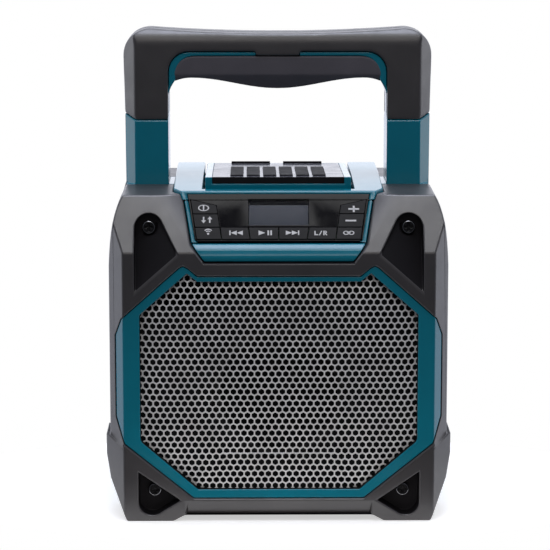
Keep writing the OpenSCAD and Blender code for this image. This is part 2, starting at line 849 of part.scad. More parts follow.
module grille() {
  hole = ring_hole();
  low = ring_low + ring_sill;
  row = hole_pitch * sin(60);
  rows = floor((ring_in_peak[1] - low) / row);
  cols = floor(ring_in_w / hole_pitch / 2) + 1;
  edge = grown(hole, -fit - hole_d / 2 - 1);
  color(steel) {
    slab(grille_y, grille_y + grille_t) difference() {
      polygon(grown(hole, -fit));
      for (j = [0:rows], i = [-cols:cols]) {
        p = [(i + (j % 2) / 2) * hole_pitch, low + 3 + j * row];
        if (inside(p, edge)) translate(p) circle(d = hole_d, $fn = 24);
      }
    }
    slab(grille_y, grille_back) difference() {
      polygon(grown(hole, -fit));
      polygon(grown(hole, -fit - grille_t));
    }
  }
}

// True where a point lies within an outline, by counting crossings
function inside(p, q) = len([for (i = [0:len(q) - 1])
  let (a = q[i], b = q[(i + 1) % len(q)])
  if ((a[1] > p[1]) != (b[1] > p[1]) && p[0] < a[0] + (p[1] - a[1]) * (b[0] - a[0]) / (b[1] - a[1])) 1]) % 2 == 1;

module trim_strip() {
  nose = yf + strip_in;
  back = cab_y - fit;
  color(teal) difference() {
    intersection() {
      slab(yf, cab_y) polygon(grown(notch_line(), -fit));
      span(-big, big) polygon([[back, strip_low], [nose, strip_low], [nose, strip_low + 3.5],
        [nose + 2, strip_low + 8], [face_y - 0.8, strip_top - fit], [back, strip_top - fit]]);
    }
    on_face() linear_y(-5, fascia_t + 0.2) polygon(grown(fascia_line(), 0.15));
  }
}

module shell(y0, y1) {
  difference() {
    slab(y0, y1) polygon(cab_line());
    slab(y0 - 1, y1 + 1) polygon(grown(cab_line(), -cab_wall));
  }
}

module cabinet_front() {
  color(teal) difference() {
    union() {
      shell(cab_y, split_y);
      difference() {
        slab(baffle_back, baffle_back + 3) polygon(grown(cab_line(), -cab_wall + 0.5));
        slab(baffle_back - 1, baffle_back + 4) polygon(grown(cab_line(), -cab_wall - 4));
      }
      twin() intersection() {
        rod_y(screw_low[0], screw_low[1], baffle_back, floor_low + screw_low_l + 4, boss_d + 2);
        slab(cab_y, split_y) polygon(cab_line());
      }
      flap_ears();
      for (s = [-1, 1]) translate([wall_x - socket_l, s * (flap_l / 2 - 3), flap_z - 5])
        rotate([0, 90, 0]) cylinder(h = socket_l + 1, d = 5);
    }
    twin() rod_y(screw_low[0], screw_low[1], cab_y - 1, floor_low + screw_low_l + 1, shank_d + 2 * run);
    socket_cuts(fit);
  }
}

// Ears that carry the flap pin on the right side
module flap_ears() {
  for (s = [-1, 1]) difference() {
    union() {
      translate([flap_pin_x, s * (flap_l / 2 + 2.4), flap_z]) rotate([90, 0, 0])
        cylinder(h = 3.6, d = flap_knuckle_d, center = true);
      box([cab_x - 1, s * (flap_l / 2 + 2.4) - 1.8, flap_z - flap_knuckle_d / 2],
        [flap_pin_x, s * (flap_l / 2 + 2.4) + 1.8, flap_z + flap_knuckle_d / 2]);
    }
    translate([flap_pin_x, 0, flap_z]) rotate([90, 0, 0])
      cylinder(h = flap_l + 20, d = flap_pin_d + 2 * run, center = true);
  }
}

// The three sockets' outlines, grown by g
module socket_cuts(g) {
  z = flap_z - flap_h / 2 - 2;
  x0 = wall_x - socket_l;
  translate([x0, -socket_pitch, z]) rotate([0, 90, 0]) cylinder(h = socket_l + 10, d = dc_d + 2 * g);
  translate([x0, 0, z]) rotate([0, 90, 0]) cylinder(h = socket_l + 10, d = audio_d + 2 * g);
  box([x0, socket_pitch - usb_w / 2 - g, z - usb_h / 2 - g], [cab_x + 10, socket_pitch + usb_w / 2 + g, z + usb_h / 2 + g]);
}

module dc_inlet() {
  z = flap_z - flap_h / 2 - 2;
  x1 = wall_x - socket_l;
  color(black) {
    difference() {
      translate([x1, -socket_pitch, z]) rotate([0, 90, 0]) cylinder(h = cab_x - x1, d = dc_d);
      translate([x1 + 4, -socket_pitch, z]) rotate([0, 90, 0]) cylinder(h = socket_l + 5, d = dc_d - 2.4);
    }
    translate([x1 + 1, -socket_pitch, z]) rotate([0, 90, 0]) cylinder(h = cab_x - x1 - 3, d = 1.6);
  }
}

module audio_socket() {
  z = flap_z - flap_h / 2 - 2;
  x1 = wall_x - socket_l;
  color(black) difference() {
    translate([x1, 0, z]) rotate([0, 90, 0]) cylinder(h = cab_x - x1, d = audio_d);
    translate([x1 + 2, 0, z]) rotate([0, 90, 0]) cylinder(h = socket_l + 5, d = 3.6);
  }
}

module usb_socket() {
  z = flap_z - flap_h / 2 - 2;
  x1 = wall_x - socket_l;
  color(steel) {
    difference() {
      box([x1, socket_pitch - usb_w / 2, z - usb_h / 2], [cab_x, socket_pitch + usb_w / 2, z + usb_h / 2]);
      box([x1 + 2, socket_pitch - usb_w / 2 + 0.5, z - usb_h / 2 + 0.5],
        [cab_x + 1, socket_pitch + usb_w / 2 - 0.5, z + usb_h / 2 - 0.5]);
    }
    box([x1 + 1, socket_pitch - usb_w / 2 + 1.2, z], [cab_x - 2, socket_pitch + usb_w / 2 - 1.2, z + 1.6]);
  }
}

module socket_board() {
  color(green) box([wall_x - socket_l - board_t, -flap_l / 2, flap_z - flap_h],
    [wall_x - socket_l, flap_l / 2, flap_z]);
}

module socket_flap() {
  color(dark) difference() {
    union() {
      box([flap_x, -flap_l / 2, flap_z - flap_h], [flap_x + flap_t, flap_l / 2, flap_z]);
      translate([flap_pin_x, 0, flap_z]) rotate([90, 0, 0]) cylinder(h = flap_l, d = flap_knuckle_d - 0.6, center = true);
      box([flap_x + 0.6, -9, flap_z - flap_h - 3], [flap_x + flap_t, 9, flap_z - flap_h + 1]);
    }
    translate([flap_pin_x, 0, flap_z]) rotate([90, 0, 0])
      cylinder(h = flap_l + 2, d = flap_pin_d + 2 * run, center = true);
  }
}

module flap_pin() {
  color(steel) translate([flap_pin_x, 0, flap_z]) rotate([90, 0, 0])
    cylinder(h = flap_l + 8, d = flap_pin_d, center = true);
}

module cabinet_rear() {
  color(teal) difference() {
    union() {
      shell(split_y + seal_t, cab_back);
      slab(cab_back - cab_wall, cab_back) polygon(cab_line());
      twin() intersection() {
        rod_y(screw_low[0], screw_low[1], -rear_floor_low - screw_low_l - 4, cab_back, boss_d + 2);
        slab(split_y, cab_back) polygon(cab_line());
      }
      for (x = [-1, 1]) {
        rod_x(door_pin_y, door_pin_z, x * 21 - 9, x * 21 + 9, knuckle_d);
        box([x * 21 - 9, cab_back - 1, door_pin_z - knuckle_d / 2], [x * 21 + 9, door_pin_y, door_pin_z + knuckle_d / 2]);
      }
    }
    box([-bay_x - fit, 0, bay_low - fit], [bay_x + fit, cab_back + 1, bay_top + fit + bay_wall]);
    rod_x(door_pin_y, door_pin_z, -door_x, door_x, pin_d + 2 * run);
    twin() rod_y(screw_low[0], screw_low[1], -rear_floor_low - screw_low_l - 1, cab_back + 1, shank_d + 2 * run);
  }
}

module cabinet_seal() {
  color(black) difference() {
    slab(split_y, split_y + seal_t) polygon(grown(cab_line(), -0.6));
    slab(split_y - 1, split_y + seal_t + 1) polygon(grown(cab_line(), -cab_wall + 0.4));
  }
}

module baffle() {
  color(black) difference() {
    slab(cab_y, baffle_back) polygon(grown(cab_line(), -cab_wall - fit));
    rod_y(0, woofer_z, cab_y - 1, baffle_back + 1, woofer_hole);
    rod_y(tweeter_x, tweeter_z, cab_y - 1, baffle_back + 1, tweeter_d - 8);
    twin() rod_y(screw_low[0], screw_low[1], cab_y - 1, baffle_back + 1, shank_d + 2 * fit);
    driver_holes(dscrew_d + 2 * run);
  }
}

// Screw places on both driver frames
module driver_holes(d) {
  for (a = [45:90:315]) {
    rod_y((woofer_d / 2 - 3) * cos(a), woofer_z + (woofer_d / 2 - 3) * sin(a), woofer_y - 1, baffle_back + 1, d);
    rod_y(tweeter_x + (tweeter_d / 2 - 2.2) * cos(a), tweeter_z + (tweeter_d / 2 - 2.2) * sin(a),
      woofer_y - 1, baffle_back + 1, d);
  }
}

module driver_screws() {
  color(black) for (a = [45:90:315]) {
    driver_screw((woofer_d / 2 - 3) * cos(a), woofer_z + (woofer_d / 2 - 3) * sin(a));
    driver_screw(tweeter_x + (tweeter_d / 2 - 2.2) * cos(a), tweeter_z + (tweeter_d / 2 - 2.2) * sin(a));
  }
}

module driver_screw(x, z) {
  rod_y(x, z, woofer_y - 1.2, woofer_y, dscrew_d + 1.6);
  rod_y(x, z, woofer_y - 0.5, baffle_back, dscrew_d);
}

module woofer_basket() {
  t = cab_y - woofer_y;
  r = woofer_d / 2;
  color(black) difference() {
    turned(0, woofer_y, woofer_z) polygon([[cone_d / 2 + 6, 0], [r, 0], [r, t - 0.1], [woofer_hole / 2 - fit, t - 0.1],
      [woofer_hole / 2 - fit, t + 5], [magnet_d / 2 - 4, basket_h], [coil_d / 2 + 4, basket_h], [coil_d / 2 + 4, basket_h - 2],
      [magnet_d / 2 - 6, basket_h - 2], [woofer_hole / 2 - fit - 2, t + 4], [woofer_hole / 2 - fit - 2, t],
      [cone_d / 2 + 6, t]]);
    driver_holes(dscrew_d + 2 * run);
  }
}

module woofer_magnet() {
  m = magnet_d / 2;
  color(steel) turned(0, woofer_y + basket_h + 0.1, woofer_z) polygon([[0, -6], [coil_d / 2 - 1.2, -6],
    [coil_d / 2 - 1.2, magnet_t - 5], [coil_d / 2 + 1.2, magnet_t - 5], [coil_d / 2 + 1.2, 0], [m, 0], [m, magnet_t], [0, magnet_t]]);
}

module woofer_cone() {
  r = cone_d / 2;
  c = coil_d / 2;
  color(black) turned(0, woofer_y, woofer_z) polygon(concat([[r, 3], [r, 4], [c + 0.2, 4 + cone_h], [c - 0.8, 4 + cone_h]],
    [for (i = [0:8]) let (a = i * 90 / 8) [(c - 1) * cos(a), 3 + cone_h - 5 * sin(a)]],
    [[0, cone_h - 2.8]], [for (i = [8:-1:0]) let (a = i * 90 / 8) [c * cos(a), 2 + cone_h - 5 * sin(a)]]));
}

module woofer_surround() {
  r0 = cone_d / 2 + fit;
  r1 = cone_d / 2 + 6 - fit;
  m = (r0 + r1) / 2;
  w = (r1 - r0) / 2;
  color(black) turned(0, woofer_y, woofer_z) polygon(concat(
    [for (i = [0:10]) let (a = i * 18) [m + w * cos(a), 3.4 - w * sin(a)]],
    [for (i = [10:-1:0]) let (a = i * 18) [m + (w - 0.7) * cos(a), 3.4 - (w - 0.7) * sin(a)]]));
}

module woofer_spider() {
  t = cab_y - woofer_y;
  n = 12;
  z0 = 3 + cone_h + 5;
  wide = woofer_hole / 2 - fit - 2;
  r0 = coil_d / 2 + 0.5 + fit;
  r1 = wide - (wide - magnet_d / 2 + 6) * (z0 + 2 - t - 4) / (basket_h - 6 - t) - fit;
  color(black) turned(0, woofer_y, woofer_z) polygon(concat(
    [for (i = [0:n]) [r0 + (r1 - r0) * i / n, z0 + (i % 2) * 1.2]],
    [for (i = [n:-1:0]) [r0 + (r1 - r0) * i / n, z0 + 0.8 + (i % 2) * 1.2]]));
}

module voice_coil() {
  c = coil_d / 2;
  color(steel) turned(0, woofer_y, woofer_z) polygon([[c - 0.5, 4.2 + cone_h], [c + 0.5, 4.2 + cone_h],
    [c + 0.5, basket_h + coil_in], [c - 0.5, basket_h + coil_in]]);
}

module tweeter_frame() {
  r = tweeter_d / 2;
  t = cab_y - woofer_y;
  color(black) difference() {
    turned(tweeter_x, woofer_y, tweeter_z) polygon([[dome_d / 2 + 1, 1.5], [dome_d / 2 + 3, 0], [r, 0], [r, t - 0.1],
      [r - 4 - fit, t - 0.1], [r - 4 - fit, t + tweeter_h], [dome_d / 2 + 1, t + tweeter_h]]);
    driver_holes(dscrew_d + 2 * run);
  }
}

module tweeter_dome() {
  r = dome_d / 2 + 1 - fit;
  color(dark) turned(tweeter_x, woofer_y, tweeter_z) polygon(concat([[r, 4], [r, dome_in], [0, dome_in]],
    [for (i = [8:-1:0]) let (a = i * 90 / 8) [(r - 1.5) * cos(a), 4 - 3.4 * sin(a)]]));
}

module tweeter_magnet() {
  t = cab_y - woofer_y + tweeter_h + 0.1;
  r = tweeter_d / 2 - 4 - fit;
  color(steel) turned(tweeter_x, woofer_y, tweeter_z) polygon([[0, t], [r, t], [r, t + tweeter_m], [0, t + tweeter_m]]);
}

// Profile of the top housing in YZ, and its hollow
function hat_line() = [[cab_y, cab_top + fit], [cab_y, strip_top], [face_y + 0.4, strip_top],
  [deck_front, face_top], [deck_fold, deck_h], [lever_pin_y - 6, deck_h], [cab_back, shoulder_h - 14],
  [cab_back, cab_top + fit]];

module hat_hollow() {
  t = 6;
  y0 = cab_y + 2.2;
  yl = face_y + t * cos(lean);
  zl = strip_top - t * sin(lean);
  s = tan(lean);
  top = face_top - 2.5;
  span(-deck_x + 3, deck_x - 3) polygon([[y0, cab_top - 1], [y0, zl + (y0 - yl) / s], [yl + (top - zl) * s, top],
    [lever_pin_y - 8, top], [cab_back - 3, shoulder_h - 17], [cab_back - 3, cab_top - 1]]);
}

// Finger slot with the lever's bed
module slot_block(g, y1) {
  box([-slot_x - g, slot_front - g, slot_z - g], [slot_x + g, y1, big]);
}

// Deck seen from above, its front corners cut
function deck_plan() = across([[face_top_x - fit, deck_edge], [deck_x, deck_edge + deck_cut], [deck_x, big]]);

module top_housing() {
  color(teal) difference() {
    intersection() {
      union() {
        difference() {
          span(-deck_x, deck_x) polygon(hat_line());
          hat_hollow();
        }
        intersection() {
          slot_block(slot_wall, cab_back - 1);
          span(-deck_x + 2, deck_x - 2) polygon(hat_line());
        }
      }
      union() {
        slab(yf, deck_edge + 1) polygon(grown(notch_line(), -fit));
        linear_extrude(big) polygon(deck_plan());
      }
    }
    slot_block(0, big);
    span(-slot_x, slot_x) polygon([[lever_pin_y + 6.5, slot_z], [cab_back + 1, door_crease_z + 0.7],
      [cab_back + 1, big], [lever_pin_y + 6.5, big]]);
    on_face() {
      linear_y(-5, fascia_t + 0.2) polygon(grown(fascia_line(), 0.15));
      linear_y(-5, 7.4) polygon(grown(fascia_line(), -0.7));
    }
  }
}

// Outline on the control face carried inward from w0 to w1
module linear_y(w0, w1) {
  translate([0, w1, 0]) rotate([90, 0, 0]) linear_extrude(w1 - w0) children();
}

function fascia_x(v) = fascia_low_x + (fascia_top_x - fascia_low_x) * (v - fascia_v) / fascia_h;
function fascia_line() = across(concat(arc([fascia_low_x - fascia_r, fascia_v + fascia_r], fascia_r, -90, 0, 5),
  [[fascia_top_x, fascia_v + fascia_h]]));
function key_out_x(v) = fascia_x(v) - fascia_rim - 0.2;
function key_in_x(v) = key_x0 + key_lean * (v - key_v0);
function keys_line() = across([[key_out_x(key_v0), key_v0], [key_out_x(key_v4), key_v4],
  [key_in_x(key_v3), key_v3], [key_in_x(key_v1), key_v1]]);
function column_key(v0, v1, v2) = [[key_in_x(v0), v0], [key_out_x(v0), v0], [key_out_x(v2), v2], [key_in_x(v1), v1]];
function row_x(k, v) = k * key_w + sign(k) * key_lean * (v - key_v0);
function row_key(i) = [[row_x(i - 2, key_v0), key_v0], [row_x(i - 1, key_v0), key_v0],
  [row_x(i - 1, key_v1), key_v1], [row_x(i - 2, key_v1), key_v1]];
function flipped(p) = [for (i = [len(p) - 1:-1:0]) [-p[i][0], p[i][1]]];
function window_line() = across([[window_w / 2, window_v], [window_w / 2, window_v + window_h]]);

module fascia() {
  color(black) on_face() {
    difference() {
      linear_y(0, fascia_t) polygon(fascia_line());
      linear_y(-1, fascia_t + 1) polygon(keys_line());
      linear_y(-1, fascia_t + 1) polygon(window_line());
    }
    for (x = [-post_x, post_x], v = [post_low, post_high]) translate([x, board_w, v]) rotate([90, 0, 0])
      cylinder(h = post_l + 0.5, d = post_d);
  }
}

module display_window() {
  color(black) on_face() linear_y(0.1, window_t) polygon(grown(window_line(), -fit / 2));
}

module display() {
  color(steel) on_face() linear_y(window_t + 0.1, board_w - 0.1) polygon(grown(window_line(), -fit));
}

module key(p) {
  color(dark) on_face() linear_y(-key_out, fascia_t + key_back) polygon(grown(p, -key_gap));
}

module key_power() {
  key(flipped(column_key(key_v2, key_v3, key_v4)));
}

module key_tone() {
  key(flipped(column_key(key_v1, key_v2, key_v2)));
}

module key_wireless() {
  key(flipped(column_key(key_v0, key_v1, key_v1)));
}

module key_previous() {
  key(row_key(0));
}

module key_play() {
  key(row_key(1));
}

module key_next() {
  key(row_key(2));
}

module key_channel() {
  key(row_key(3));
}

module key_link() {
  key(column_key(key_v0, key_v1, key_v1));
}

module key_minus() {
  key(column_key(key_v1, key_v2, key_v2));
}

module key_plus() {
  key(column_key(key_v2, key_v3, key_v4));
}

module key_board() {
  x = fascia_low_x - key_board_in;
  color(green) on_face() linear_y(board_w, board_w + board_t)
    polygon(across([[x, fascia_v + key_board_up], [x, key_board_v]]));
}

module key_switches() {
  color(steel) on_face() {
    for (s = [-1, 1], v = [(key_v0 + key_v1) / 2, (key_v1 + key_v2) / 2, key_v2 + 3.6])
      translate([s * (key_in_x(v) + 6), 0, v]) switch_body();
    for (i = [0:3]) translate([(i - 1.5) * key_w, 0, (key_v0 + key_v1) / 2]) switch_body();
  }
}

module switch_body() {
  translate([-switch_w / 2, board_w - switch_h, -switch_w / 2]) cube([switch_w, switch_h, switch_w]);
}

module main_board() {
  color(green) {
    box([-main_w / 2, board_y - board_t, main_low], [main_w / 2, board_y, main_low + main_h]);
    for (x = [-sink_w, sink_w]) box([x - sink_w / 2, board_y - board_t - sink_d, main_low + main_h - sink_h - bay_post_in],
      [x + sink_w / 2, board_y - board_t, main_low + main_h - bay_post_in]);
  }
}

// Handle outlines
function leg_out(z) = (handle_low_w + (handle_w - handle_low_w) * (z - shoulder_h) / (overall_h - handle_r - shoulder_h)) / 2;
function handle_line() = across(concat([[leg_out(shoulder_h), shoulder_h - 1]],
  arc([handle_w / 2 - handle_r, overall_h - handle_r], handle_r, 0, 90, 8),
  [for (i = [5:-1:1]) let (x = (handle_w / 2 - handle_r) * i / 6) [x, overall_h - handle_dip * (1 - i * i / 36)]]));
function cover_hole() = across(concat([[hand_x, 0]], arc([hand_x - bar_r, bar_z - bar_r], bar_r, 0, 90, 6)));
function core_curve() = curve(core_toe, [core_toe_x + 0.4, core_z], [core_bar_x, core_z], 8);
function core_hole() = across(concat([[hand_x, 0]],
  curve([hand_x, core_low_z], [hand_x - 0.6, core_low_z + 5], core_toe - [0, 0.2], 5), core_curve()));

module handle_form() {
  intersection() {
    slab(-hy, hy) polygon(handle_line());
    linear_extrude(2 * big) polygon(across([[handle_w / 2 - leg_bevel_x, -hy], [handle_w / 2, -hy + leg_bevel_y],
      [handle_w / 2, hy - leg_bevel_y], [handle_w / 2 - leg_bevel_x, hy]]));
    span(-big, big) polygon(handle_top());
    for (s = [0, 1]) mirror([0, s, 0]) bevel_corners();
  }
}

// Handle from the side, with the chamfer along its top and the lean below it
function handle_top() = [[-hy, 0], [hy, 0], [hy, top_crease - brow_h],
  [hy - brow_in, top_crease + brow_in * (overall_h + 3 - top_crease) / leg_bevel_y], [hy - leg_bevel_y, overall_h + 3],
  [leg_bevel_y - hy, overall_h + 3],
  [brow_in - hy, top_crease + brow_in * (overall_h + 3 - top_crease) / leg_bevel_y], [-hy, top_crease - brow_h]];

// Room left by the chamfer where it turns the two front corners
module bevel_corners() {
  difference() {
    box([-big, -big, 0], [big, big, 2 * big]);
    twin() difference() {
      box([bevel_c[0], -hy - 1, bevel_c[1]], [big, -hy + leg_bevel_y, big]);
      translate([bevel_c[0], -hy, bevel_c[1]]) rotate([-90, 0, 0])
        cylinder(h = leg_bevel_y + 1, r1 = bevel_r, r2 = bevel_r + leg_bevel_x * (leg_bevel_y + 1) / leg_bevel_y);
    }
  }
}

// Region above the line where the covers end, lowered by g
module over_roof(g) {
  span(-big, big) polygon([[-hy - 1, big], [-hy - 1, cover_z - g], [-hy + leg_bevel_y, cover_z + cover_rise - g],
    [hy - leg_bevel_y, cover_z + cover_rise - g], [hy + 1, cover_z - g], [hy + 1, big]]);
}

function core_line() = grown(handle_line(), -cover_t);

module handle_core() {
  color(teal) difference() {
    union() {
      difference() {
        handle_form();
        slab(-big, big) polygon(core_hole());
        over_roof(fit);
      }
      difference() {
        slab(-core_y, core_y) polygon(core_line());
        slab(-big, big) polygon(core_hole());
        box([-big, -big, 0], [big, big, cover_z - 8]);
      }
      core_lip();
      twin() leg_block();
    }
    handle_holes(shank_d + 2 * fit);
  }
}

// Teal edge that shows between the covers and the grip pad
module core_lip() {
  y = hy - core_lip_in;
  difference() {
    slab(-y, y) difference() {
      polygon(grown(cover_hole(), -fit));
      polygon(core_hole());
    }
    for (s = [0, 1]) mirror([0, s, 0])
      box([-tab_x - fit, -big, core_z - 1], [tab_x + fit, -core_y, big]);
  }
}

// Hollow block under a leg, with the bosses of the bumper screws
module leg_block() {
  x0 = deck_x + fit;
  difference() {
    union() {
      slab(-block_y, block_y) polygon([[x0, cab_top + fit], [cab_x - 0.5, cab_top + fit],
        [cab_x - 0.5, shoulder_h - 29], [cab_x - 2.5, shoulder_h - 11], [handle_low_w / 2, shoulder_h], [x0, shoulder_h]]);
      rod_y(screw_up[0], screw_up[1], hollow_y + fit, -hollow_y - fit, boss_d);
    }
    difference() {
      box([x0 + 3, -block_y + 3, cab_top - 1], [cab_x - 5.5, block_y - 3, shoulder_h - 4 - roof_t]);
      rod_y(screw_up[0], screw_up[1], -block_y, -block_y + 8, boss_d);
      rod_y(screw_up[0], screw_up[1], block_y - 8, block_y, boss_d);
    }
    rod_y(screw_up[0], screw_up[1], hollow_y, floor_up + screw_up_l + 2, shank_d + 2 * run);
    rod_y(screw_up[0], screw_up[1], -floor_up - screw_up_l - 2, -hollow_y, shank_d + 2 * run);
    for (s = [0, 1]) mirror([0, s, 0])
      box([0, -block_y - 1, shoulder_h - roof_t - fit], [big, -hy, big]);
  }
}

// Places of the handle screws
module handle_holes(d) {
  for (s = [-1, 1]) {
    rod_y(s * leg_screw_x, leg_screw_z, -hy + 5, hy - 5, d);
    rod_y(s * bar_screw_x, bar_screw_z, -hy + 5, hy - 5, d);
  }
}

module handle_cover_front() {
  color(dark) difference() {
    intersection() {
      handle_form();
      over_roof(0);
      box([-big, -big, 0], [big, -fit / 2, big]);
    }
    cover_room();
    handle_holes(shank_d + 2 * run);
  }
}

module cover_room() {
  difference() {
    slab(-big, big) polygon(cover_hole());
    box([-tab_x, -hy - 1, core_z], [tab_x, -core_y - fit, bar_z + 1]);
  }
  difference() {
    slab(-core_y - fit, core_y + fit) polygon(grown(core_line(), fit));
    slab(-big, big) polygon(core_hole());
  }
  slab(-core_y - fit, core_y + fit) polygon(core_hole());
}

module handle_cover_rear() {
  color(dark) difference() {
    intersection() {
      handle_form();
      over_roof(0);
      box([-big, fit / 2, 0], [big, big, big]);
    }
    mirror([0, 1, 0]) cover_room();
    handle_holes(shank_d + 2 * fit);
    for (s = [-1, 1]) {
      rod_y(s * leg_screw_x, leg_screw_z, cover_seat, hy + 1, head_d + 2 * fit);
      rod_y(s * bar_screw_x, bar_screw_z, cover_seat, hy + 1, head_d + 2 * fit);
    }
  }
}

module handle_screws() {
  color(black) for (s = [-1, 1]) {
    translate([s * leg_screw_x, cover_seat, leg_screw_z]) mirror([0, 1, 0]) screw(2 * cover_seat);
    translate([s * bar_screw_x, cover_seat, bar_screw_z]) mirror([0, 1, 0]) screw(2 * cover_seat);
  }
}

module grip_pad() {
  g = grip_d / 2;
  n = 10;
  end = core_toe_x - fit;
  color(dark) intersection() {
    slab(-g, g) polygon(across(concat(
      [for (i = [0:n]) [max(grip_x * i / n, 0.01), grip_low + grip_rise * (1 - cos(180 * i / n)) / 2]],
      [for (i = [1:4]) [grip_x + (end - grip_x) * i / 4, grip_low + grip_rise - grip_toe * i * i / 16]],
      [for (p = core_curve()) p - [fit, fit]])));
    span(-big, big) polygon([[-g, big], [-g, grip_low + 9], [-g + 5, grip_low - 1], [g - 5, grip_low - 1],
      [g, grip_low + 9], [g, big]]);
  }
}

// Lever, hinged on the door, lying in the deck slot
function lever_top(y) = lever_front_z - lever_slope * (y - lever_front);

module lever_holes() {
  rod_x(lever_pin_y, lever_pin_z, -lever_x - 1, lever_x + 1, pin_d + 2 * run);
}

module locking_lever() {
  y1 = lever_pin_y - knuckle_d / 2 - 1;
  f = lever_front;
  color(teal) difference() {
    union() {
      span(-lever_x, lever_x) polygon([[f, lever_front_z], [f, lever_top(f) - lever_t - lever_lip],
        [f + 4, lever_top(f) - lever_t - lever_lip], [f + 8, lever_top(f + 8) - lever_t], [y1, lever_top(y1) - lever_t], [y1, lever_top(y1)]]);
      for (s = [-1, 1]) {
        rod_x(lever_pin_y, lever_pin_z, s * 36 - 8, s * 36 + 8, knuckle_d);
        box([s * 36 - 8, y1 - 1, lever_pin_z - 0.5], [s * 36 + 8, lever_pin_y, lever_pin_z + knuckle_d / 2]);
      }
    }
    lever_holes();
    insert_form(fit / 2, 0);
  }
}

// Insert's outline on the sloping lever top
module on_lever() {
  translate([0, lever_front, lever_front_z]) rotate([-lever_tilt, 0, 0]) children();
}

module insert_form(g, up) {
  l = lever_pin_y - knuckle_d / 2 - 1 - lever_front;
  on_lever() {
    box([-insert_w / 2 - g, -2, -insert_t - g], [insert_w / 2 + g, l - 2 + g, up + 1]);
    box([-insert_w / 2 - g, -2, -insert_lip - g], [insert_w / 2 + g, insert_t + g, up + 1]);
  }
}

module lever_insert() {
  l = lever_pin_y - knuckle_d / 2 - 1 - lever_front;
  pitch = pad_l / pad_ribs;
  color(dark) on_lever() {
    difference() {
      union() {
        box([-insert_w / 2, 0.2, -insert_t], [insert_w / 2, l - 2, 0]);
        box([-insert_w / 2, 0.2, -insert_lip], [insert_w / 2, insert_t, 0]);
        for (i = [0:pad_n - 1]) translate([(i - (pad_n - 1) / 2) * pad_pitch - pad_w / 2, 6, -0.5])
          cube([pad_w, pad_l, pad_h + 0.5]);
        for (s = [-1, 1]) translate([s * 17 - 12.7, l - 7.5, -0.5]) cube([25.4, 3, pad_h + 1.1]);
      }
      for (i = [1:pad_ribs - 1]) translate([-insert_w / 2, 6 + i * pitch - 0.4, 0.3])
        cube([insert_w, 0.8, pad_h + 1]);
    }
  }
}

module lever_pin() {
  color(steel) rod_x(lever_pin_y, lever_pin_z, -lever_x + 1, lever_x - 1, pin_d);
}

module battery_door() {
  y0 = door_y - door_t;
  top_y = lever_pin_y + knuckle_d / 2 + 1;
  top_z = lever_pin_z + knuckle_d / 2;
  t = door_t;
  color(teal) difference() {
    union() {
      span(-door_x, door_x) polygon([[door_y, door_low], [door_y, door_crease_z], [top_y + 2, top_z], [top_y, top_z],
        [top_y, top_z - t], [top_y + 0.8, top_z - t], [y0, door_crease_z - 1.6], [y0, door_low]]);
      rod_x(lever_pin_y, lever_pin_z, -27.5, 27.5, knuckle_d);
      box([-27.5, lever_pin_y, lever_pin_z - 0.5], [27.5, top_y + 1, top_z]);
      for (x = [-38, 0, 38]) let (w = x == 0 ? 11 : 7) {
        rod_x(door_pin_y, door_pin_z, x - w, x + w, knuckle_d);
        box([x - w, door_pin_y - 0.5, door_pin_z], [x + w, door_y, door_low + 1]);
      }
    }
    lever_holes();
    rod_x(door_pin_y, door_pin_z, -door_x - 1, door_x + 1, pin_d + 2 * run);
    for (i = [0:5]) box([-door_x + 14, door_y - 1.2, 60 + i * 16], [door_x - 14, door_y + 1, 64 + i * 16]);
  }
}

module door_pin() {
  color(steel) rod_x(door_pin_y, door_pin_z, -door_x + 1, door_x - 1, pin_d);
}

module door_seal() {
  y1 = door_y - door_t - fit;
  color(black) difference() {
    box([-door_x + 1, cab_back, bay_low - 3], [door_x - 1, y1, bay_top + bay_wall + 3]);
    box([-bay_x, cab_back - 1, bay_low], [bay_x, y1 + 1, bay_top + bay_wall]);
  }
}

module battery_bay() {
  color(dark) {
    difference() {
      box([-bay_x, bay_front, bay_low], [bay_x, cab_back, bay_top + bay_wall]);
      box([-bay_x + bay_wall, bay_front + bay_wall, bay_low + bay_wall], [bay_x - bay_wall, cab_back + 1, bay_top]);
    }
    for (x = [-bay_post_x, bay_post_x], z = [main_low + bay_post_in, main_low + main_h - bay_post_in]) bay_post(x, z);
  }
}

// Post that carries the main board, on an arm of the bay
module bay_post(x, z) {
  s = sign(x);
  box([s > 0 ? bay_x - 0.5 : x - 4, bay_front, z - 4], [s > 0 ? x + 4 : -bay_x + 0.5, bay_front + bay_wall, z + 4]);
  rod_y(x, z, board_y, bay_front + 1, 6);
}

module battery_terminal() {
  y0 = bay_front + bay_wall;
  z0 = bay_low + bay_wall + term_up;
  color(black) {
    box([-term_w / 2, y0, z0], [term_w / 2, y0 + term_d - 4, z0 + term_h]);
    for (x = [-blade_pitch, 0, blade_pitch]) box([x - 0.6, y0 + term_d - 5, z0 + 6], [x + 0.6, y0 + term_d, z0 + term_h - 6]);
  }
}

module battery_pack() {
  z0 = bay_low + bay_wall + pack_gap;
  color(black) difference() {
    union() {
      box([-pack_w / 2, pack_front, z0], [pack_w / 2, pack_back, z0 + pack_h]);
      box([-pack_w / 2 + 6, pack_front - term_d, z0], [-term_w / 2 - 1, pack_front + 1, z0 + pack_h - 20]);
      box([term_w / 2 + 1, pack_front - term_d, z0], [pack_w / 2 - 6, pack_front + 1, z0 + pack_h - 20]);
    }
    for (x = [-blade_pitch, 0, blade_pitch]) box([x - 1.2, pack_front - 1, bay_low + bay_wall + term_up + 4],
      [x + 1.2, pack_front + 4, bay_low + bay_wall + term_up + term_h - 4]);
  }
}

